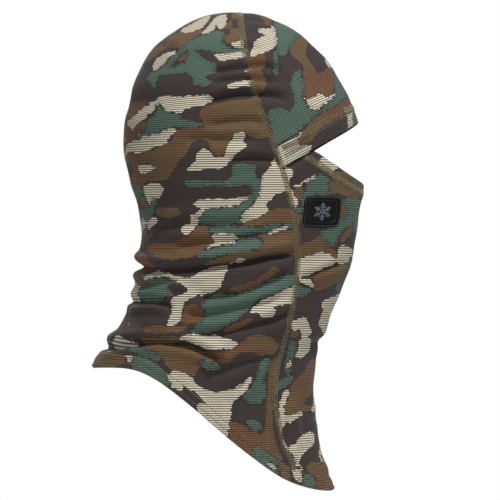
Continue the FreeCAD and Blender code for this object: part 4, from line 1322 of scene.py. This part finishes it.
# %% The rib lines
rib_lines, rib_in, rib_out = group("rib_lines", [("Pitch", FLOAT, 1.9), ("Softness", FLOAT, 0.3)],
                                   [("Groove", FLOAT), ("Row", FLOAT), ("Height", FLOAT)])
across_ribs = maths(rib_lines, "DIVIDE", carried(rib_lines, "rib"), rib_in.outputs["Pitch"])
wobble = noise(rib_lines,
               vector(rib_lines, maths(rib_lines, "MULTIPLY", carried(rib_lines, "run"), 0.05),
                      across_ribs), 0.35, 1.0)
across_ribs = maths(rib_lines, "ADD", across_ribs, maths(rib_lines, "MULTIPLY", wobble, 0.5))
from_middle = maths(rib_lines, "ABSOLUTE",
                    maths(rib_lines, "SUBTRACT", maths(rib_lines, "FRACT", across_ribs), 0.5))
near_groove = maths(rib_lines, "MULTIPLY", from_middle, 2.0)
groove = remap(rib_lines, near_groove, 0.38, 0.72)
feed(rib_lines, rib_out.inputs["Groove"], groove)
feed(rib_lines, rib_out.inputs["Row"], maths(rib_lines, "FLOOR", across_ribs))
feed(rib_lines, rib_out.inputs["Height"],
     maths(rib_lines, "SUBTRACT", 1.0, maths(rib_lines, "POWER", near_groove, 2.5)))
print("rib lines ready")

# %% The fine grain of the yarn
yarn_grain, grain_in, grain_out = group("yarn_grain", [("Stitch", FLOAT, 0.55)],
                                        [("Tone", FLOAT), ("Height", FLOAT)])
cloth_place = vector(yarn_grain,
                     maths(yarn_grain, "DIVIDE", carried(yarn_grain, "run"),
                           grain_in.outputs["Stitch"]),
                     maths(yarn_grain, "DIVIDE", carried(yarn_grain, "rib"),
                           grain_in.outputs["Stitch"]))
fine_grain = noise(yarn_grain, cloth_place, 0.9, 3.0, 0.6)
loops = node(yarn_grain, "ShaderNodeTexVoronoi",
             {"Vector": cloth_place, "Scale": 0.8, "Randomness": 0.6})
feed(yarn_grain, grain_out.inputs["Tone"],
     remap(yarn_grain, fine_grain, 0.25, 0.75, 0.0, 1.0, False))
feed(yarn_grain, grain_out.inputs["Height"],
     maths(yarn_grain, "SUBTRACT", fine_grain,
           maths(yarn_grain, "MULTIPLY", loops.outputs["Distance"], 0.6)))
print("yarn grain ready")

# %% The camouflage print
print_group, print_in, print_out = group(
    "camouflage_print",
    [("Dark", COLOUR, shade(60, 50, 49)), ("Brown", COLOUR, shade(108, 86, 58)),
     ("Rust", COLOUR, shade(112, 78, 54)),
     ("Green", COLOUR, shade(84, 108, 96)), ("Sand", COLOUR, shade(218, 210, 189)),
     ("Row", FLOAT, 0.0),
     ("Fray", FLOAT, 3.8)], [("Color", COLOUR), ("Ribbing", FLOAT)])
run = carried(print_group, "run")
rib = carried(print_group, "rib")
jag = noise(print_group, vector(print_group, maths(print_group, "MULTIPLY", run, 0.16),
                                maths(print_group, "MULTIPLY", print_in.outputs["Row"], 3.7)), 1.0,
                                1.0)
wander = noise(print_group, vector(print_group, run, rib), 0.22, 2.0)
shift = maths(print_group, "MULTIPLY", maths(print_group, "SUBTRACT", jag, 0.5),
              print_in.outputs["Fray"])
shift = maths(print_group, "ADD", shift,
              maths(print_group, "MULTIPLY", maths(print_group, "SUBTRACT", wander, 0.5), 3.4))
hue = noise(print_group, vector(print_group, run, rib), 0.02, 1.0)
brown = blended(print_group, remap(print_group, hue, 0.44, 0.62), print_in.outputs["Brown"],
                print_in.outputs["Rust"])
colour, ribbing = print_in.outputs["Dark"], 0.28
for name, over, show in (("brown", brown, 0.6), ("green", print_in.outputs["Green"], 0.7),
                         ("sand", print_in.outputs["Sand"], 0.95)):
    mask = remap(print_group, maths(print_group, "ADD", carried(print_group, name), shift), -0.15,
                 0.15)
    colour = blended(print_group, mask, colour, over)
    ribbing = node(print_group, "ShaderNodeMix", {0: mask, 2: ribbing, 3: show}).outputs[0]
slant = maths(print_group, "ADD", run, maths(print_group, "MULTIPLY", rib, 0.9))
dash_field = noise(print_group, vector(print_group, maths(print_group, "MULTIPLY", slant, 0.75),
                                       maths(print_group, "MULTIPLY", rib, 0.3)), 1.0, 1.0)
border = maths(print_group, "ABSOLUTE", carried(print_group, "green"))
dashes = maths(print_group, "MULTIPLY", remap(print_group, border, 3.2, 1.0),
               remap(print_group, dash_field, 0.54, 0.58))
colour = blended(print_group, maths(print_group, "MULTIPLY", dashes, 0.75), colour,
                 shade(38, 42, 34))
feed(print_group, print_out.inputs["Color"], colour)
feed(print_group, print_out.inputs["Ribbing"], ribbing)
print("print ready, colours:", [name for name in COLOURS])

# %% Wear along folded edges
edge_wear, wear_in, wear_out = group("edge_wear", [("Reach", FLOAT, 1.0)], [("Mask", FLOAT)])
rubbed = noise(edge_wear, vector(edge_wear, carried(edge_wear, "run"), carried(edge_wear, "rib")),
               0.5, 3.0, 0.65)
feed(edge_wear, wear_out.inputs["Mask"],
     maths(edge_wear, "MULTIPLY",
           maths(edge_wear, "MULTIPLY", carried(edge_wear, "wear"), wear_in.outputs["Reach"]),
                                               remap(edge_wear, rubbed, 0.35, 0.7)))
print("wear ready")

# %% Printed knit face
def material(name):
    made = bpy.data.materials.new(name)
    made.use_nodes = True
    tree = made.node_tree
    tree.nodes.clear()
    surface = tree.nodes.new("ShaderNodeBsdfPrincipled")
    output = tree.nodes.new("ShaderNodeOutputMaterial")
    tree.links.new(surface.outputs[0], output.inputs[0])
    return made, tree, surface


def bump(tree, height, strength, distance, below=None):
    return node(tree, "ShaderNodeBump",
                {"Height": height, "Strength": strength, "Distance": distance,
                                         "Normal": below}).outputs[0]


knit_face, tree, surface = material("printed_rib_knit")
ribs = placed(tree, rib_lines, Pitch=1.9)
grain = placed(tree, yarn_grain, Stitch=0.55)
inks = placed(tree, print_group, Row=ribs.outputs["Row"], Fray=3.8)
wear = placed(tree, edge_wear, Reach=0.8)
lined = blended(tree, maths(tree, "MULTIPLY", ribs.outputs["Groove"], inks.outputs["Ribbing"]),
                inks.outputs["Color"], shade(96, 84, 66), "MULTIPLY")
toned = blended(tree, 1.0, lined,
                blended(tree, grain.outputs["Tone"], shade(205, 205, 205), shade(255, 255, 255)),
                "MULTIPLY")
faded = blended(tree, maths(tree, "MULTIPLY", wear.outputs["Mask"], 0.3), toned,
                shade(150, 140, 122))
feed(tree, surface.inputs["Base Color"], faded)
feed(tree, surface.inputs["Roughness"],
     remap(tree, grain.outputs["Tone"], 0, 1, 0.78, 0.92, False))
surface.inputs["Specular IOR Level"].default_value = 0.25
surface.inputs["Sheen Weight"].default_value = 0.05
surface.inputs["Sheen Roughness"].default_value = 0.5
small = bump(tree, grain.outputs["Height"], 0.35, 0.00025)
feed(tree, surface.inputs["Normal"], bump(tree, ribs.outputs["Height"], 0.6, 0.0004, small))
print(knit_face.name, len(tree.nodes), "nodes")

# %% Brushed fleece reverse
fleece, tree, surface = material("brushed_fleece_reverse")
place = node(tree, "ShaderNodeTexCoord").outputs["Object"]
fluff = noise(tree, place, 900.0, 4.0, 0.7)
clumps = noise(tree, place, 140.0, 3.0, 0.6)
ribs = placed(tree, rib_lines, Pitch=3.8)
tone = blended(tree, clumps, shade(66, 60, 56), shade(98, 90, 82))
tone = blended(tree, maths(tree, "MULTIPLY", ribs.outputs["Groove"], 0.25), tone,
               shade(52, 47, 44))
wear = placed(tree, edge_wear, Reach=0.6)
feed(tree, surface.inputs["Base Color"],
     blended(tree, maths(tree, "MULTIPLY", wear.outputs["Mask"], 0.4), tone, shade(124, 116, 104)))
feed(tree, surface.inputs["Roughness"], remap(tree, fluff, 0.3, 0.7, 0.86, 0.98, False))
surface.inputs["Specular IOR Level"].default_value = 0.15
surface.inputs["Sheen Weight"].default_value = 0.35
surface.inputs["Sheen Roughness"].default_value = 0.6
feed(tree, surface.inputs["Normal"], bump(tree, maths(tree, "ADD", fluff, clumps), 0.55, 0.0006))
print(fleece.name, len(tree.nodes), "nodes")

# %% Threads, rubber and satin
def spun_thread(name, dark, pale, rough):
    """Polyester thread: two twisted tones, a fine twist in the surface and a slight gloss."""
    made, tree, surface = material(name)
    place = node(tree, "ShaderNodeTexCoord").outputs["Object"]
    tone = noise(tree, place, 420.0, 3.0, 0.6)
    twist = node(tree, "ShaderNodeTexWave",
                 {"Vector": place, "Scale": 900.0, "Distortion": 4.0, "Detail": 1.0},
                 bands_direction="DIAGONAL").outputs["Fac"]
    base = blended(tree, remap(tree, tone, 0.3, 0.7), dark, pale)
    feed(tree, surface.inputs["Base Color"],
         blended(tree, maths(tree, "MULTIPLY", twist, 0.25), base, dark))
    feed(tree, surface.inputs["Roughness"],
         remap(tree, tone, 0.3, 0.7, rough, rough + 0.15, False))
    surface.inputs["Sheen Weight"].default_value = 0.1
    feed(tree, surface.inputs["Normal"], bump(tree, twist, 0.4, 0.00012))
    return made


needle_thread = spun_thread("khaki_needle_thread", shade(104, 92, 64), shade(136, 122, 90), 0.5)
cover_thread = spun_thread("olive_cover_thread", shade(56, 49, 34), shade(76, 67, 47), 0.6)
black_thread = spun_thread("black_patch_thread", shade(16, 16, 17), shade(34, 34, 36), 0.45)


def moulded_rubber(name, dark, pale, rough):
    """Soft moulded rubber: a fine matt grain and faint blotches."""
    made, tree, surface = material(name)
    place = node(tree, "ShaderNodeTexCoord").outputs["Object"]
    blotch, pits = noise(tree, place, 160.0, 3.0, 0.6), noise(tree, place, 2600.0, 2.0, 0.7)
    feed(tree, surface.inputs["Base Color"],
         blended(tree, remap(tree, blotch, 0.3, 0.7), dark, pale))
    feed(tree, surface.inputs["Roughness"], remap(tree, pits, 0.3, 0.7, rough, rough + 0.2, False))
    surface.inputs["Specular IOR Level"].default_value = 0.15
    feed(tree, surface.inputs["Normal"], bump(tree, pits, 0.25, 0.00008))
    return made


black_rubber = moulded_rubber("black_moulded_rubber", shade(6, 6, 7), shade(12, 12, 13), 0.6)
frame_rubber = moulded_rubber("grey_frame_rubber", shade(24, 25, 27), shade(34, 36, 38), 0.5)
crystal_rubber = moulded_rubber("blue_grey_crystal_rubber", shade(70, 76, 84), shade(88, 95, 104),
                                0.5)

satin, tree, surface = material("label_satin")
weave = node(tree, "ShaderNodeTexWave",
             {"Vector": vector(tree, carried(tree, "run"), carried(tree, "rib")), "Scale": 1.3,
                                         "Distortion": 0.4}, bands_direction="Y").outputs["Fac"]
stain = noise(tree, node(tree, "ShaderNodeTexCoord").outputs["Object"], 90.0, 3.0, 0.6)
feed(tree, surface.inputs["Base Color"],
     blended(tree, remap(tree, stain, 0.35, 0.75), shade(214, 211, 202), shade(188, 184, 172)))
feed(tree, surface.inputs["Roughness"], remap(tree, weave, 0, 1, 0.35, 0.6, False))
feed(tree, surface.inputs["Normal"], bump(tree, weave, 0.3, 0.0001))
print("materials:", len(bpy.data.materials))

# %% [markdown]
# ## Dressing the frame
#
# Each piece takes its materials and stands for its CAD nodes. The hood's pieces ride on the hood
# body;
# the mask's pieces are not attached to a body. The front cloth is one continuous piece on the real
# garment, sewn to the hood at both side seams.

# %% Materials, slots and bodies
HOOD, MASK = "hood", "mask"
threads = [needle_thread, cover_thread]
dressing = [
    (right_side, "right_side_panel", "knit", [knit_face, fleece], HOOD),
    (left_side, "left_side_panel", "knit", [knit_face, fleece], HOOD),
    (forehead, "forehead_panel", "knit", [knit_face, fleece], HOOD),
    (front, ("neck_front_panel", "mask_panel"), "knit", [knit_face, fleece], MASK),
    (brow_fold, "brow_hem", "knit", [fleece, knit_face], HOOD),
    (mask_fold, "mask_hem", "knit", [fleece, knit_face], MASK),
    (bottom_folds["front"], "bottom_hem_front", "knit", [fleece, knit_face], HOOD),
    (bottom_folds["left"], "bottom_hem_left", "knit", [fleece, knit_face], HOOD),
    (bottom_folds["right"], "bottom_hem_right", "knit", [fleece, knit_face], HOOD),
    (front_seams["left"], "left_front_seam", "olive_thread", threads, HOOD),
    (front_seams["right"], "right_front_seam", "olive_thread", threads, HOOD),
    (back_seam, "centre_back_seam", "olive_thread", threads, HOOD),
    (brow_stitches, "brow_coverstitch", "olive_thread", threads, HOOD),
    (mask_stitches, "mask_coverstitch", "olive_thread", threads, MASK),
    (bottom_stitches, "bottom_coverstitch", "olive_thread", threads, HOOD),
    (temple_tacks, "temple_bartacks", "olive_thread", [cover_thread], HOOD),
    (label, "care_label", "label_satin", [satin, satin], HOOD),
    (patch_body, "patch_base", "patch_rubber", [black_rubber], MASK),
    (patch_frame, "patch_border", "patch_relief", [frame_rubber], MASK),
    (crystal, "patch_emblem", "patch_relief", [crystal_rubber], MASK),
    (patch_threads, "patch_stitches", "patch_thread", [black_thread], MASK),
]
for piece, nodes, slot, finishes, body in dressing:
    piece.data.materials.clear()
    for finish in finishes:
        piece.data.materials.append(finish)
    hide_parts(*([nodes] if isinstance(nodes, str) else nodes))
    if body == HOOD:
        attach(piece, HOOD)
    else:
        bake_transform(piece)
print(len(dressing), "pieces dressed")

# %% [markdown]
# ## The flat cuts
#
# Each panel was a flat piece of cloth before it was sewn. Its size comes from the worn panel: its
# widest level width and its longest column, with each shortened by the 6.5 percent that a close
# knit is taken to stretch each way. That stretch is an assumption. The worn area, folds and all,
# then comes out about an eighth larger than the cut.

# %% Flat sizes
cuts = [(right_side, (0.192, 0.455), 0.0547, [bottom_folds["right"], label]),
        (left_side, (0.192, 0.455), 0.0547, [bottom_folds["left"]]),
        (forehead, (0.228, 0.182), 0.0237, [brow_fold]),
        (front, (0.218, 0.306), 0.0393, [mask_fold, bottom_folds["front"]])]
for piece, flat, area, on_it in cuts:
    print(f"{piece.name}: worn {cloth_area(piece):.4f}, cut {area:.4f} square metres")

# %% [markdown]
# ## Studio
#
# A pale floor below, a bright plain surround and large soft lights, brighter from above, so that
# the folds read. The camera looks straight at the wearer's right side through a long lens.

# %% Floor, lights and camera
scene = bpy.context.scene
scene.view_settings.view_transform = "Standard"
FLOOR_RADIUS, FLOOR_HEIGHT, FLOOR_SIDES = 0.95, -0.365, 64
ground = bpy.data.meshes.new("studio_floor")
turn = np.linspace(0, 2 * math.pi, FLOOR_SIDES + 1)[:-1]
ground.from_pydata([(FLOOR_RADIUS * math.cos(t), FLOOR_RADIUS * math.sin(t), FLOOR_HEIGHT)
                    for t in turn], [], [list(range(FLOOR_SIDES))])
floor = bpy.data.objects.new("studio_floor", ground)
scene.collection.objects.link(floor)
pale, tree, surface = material("pale_floor")
mottle = noise(tree, node(tree, "ShaderNodeTexCoord").outputs["Object"], 12.0, 2.0)
feed(tree, surface.inputs["Base Color"],
     blended(tree, mottle, shade(236, 236, 236), shade(242, 242, 242)))
surface.inputs["Roughness"].default_value = 0.9
floor.data.materials.append(pale)

world = bpy.data.worlds.new("bright_surround")
scene.world = world
world.use_nodes = True
sky = world.node_tree
sky.nodes.clear()
upward = node(sky, "ShaderNodeSeparateXYZ",
              {0: node(sky, "ShaderNodeTexCoord").outputs["Generated"]}).outputs[2]
glow = blended(sky, remap(sky, upward, -0.7, 0.8), (0.06, 0.06, 0.06, 1), (0.42, 0.42, 0.42, 1))
seen = node(sky, "ShaderNodeLightPath").outputs["Is Camera Ray"]
back = node(sky, "ShaderNodeBackground",
            {"Color": blended(sky, seen, glow, (1, 1, 1, 1)), "Strength": 1.0})
sky.links.new(back.outputs[0], node(sky, "ShaderNodeOutputWorld").inputs[0])


def soft_light(name, place, aim, size, power):
    lamp = bpy.data.lights.new(name, "AREA")
    lamp.shape, lamp.size, lamp.energy = "DISK", size, power
    item = bpy.data.objects.new(name, lamp)
    scene.collection.objects.link(item)
    item.location = place
    way = np.array(aim) - np.array(place)
    item.rotation_euler = (math.atan2(math.hypot(way[0], way[1]), -way[2]), 0,
                           math.atan2(way[1], way[0]) - math.pi / 2)
    return item


HOOD_MIDDLE = (0, 0, -0.05)
for name, place, size, power in (("key_light", (-1.0, -0.5, 1.9), 0.4, 56),
                                 ("fill_light", (-1.9, 0.6, 0.2), 1.0, 6),
                                 ("far_light", (1.6, 0.7, 1.3), 1.0, 9)):
    soft_light(name, place, HOOD_MIDDLE, size, power)

SENSOR_WIDTH, CAMERA_DISTANCE, VIEW_WIDTH = 36.0, 3.0, 0.425
lens = bpy.data.cameras.new("side_camera")
lens.sensor_width, lens.lens = SENSOR_WIDTH, SENSOR_WIDTH * CAMERA_DISTANCE / VIEW_WIDTH
camera = bpy.data.objects.new("side_camera", lens)
scene.collection.objects.link(camera)
camera.location = (-CAMERA_DISTANCE, -0.006, -0.068)
camera.rotation_euler = (math.pi / 2, 0, -math.pi / 2)
scene.camera = camera
print("camera", round(lens.lens), "mm lens at 3 m")
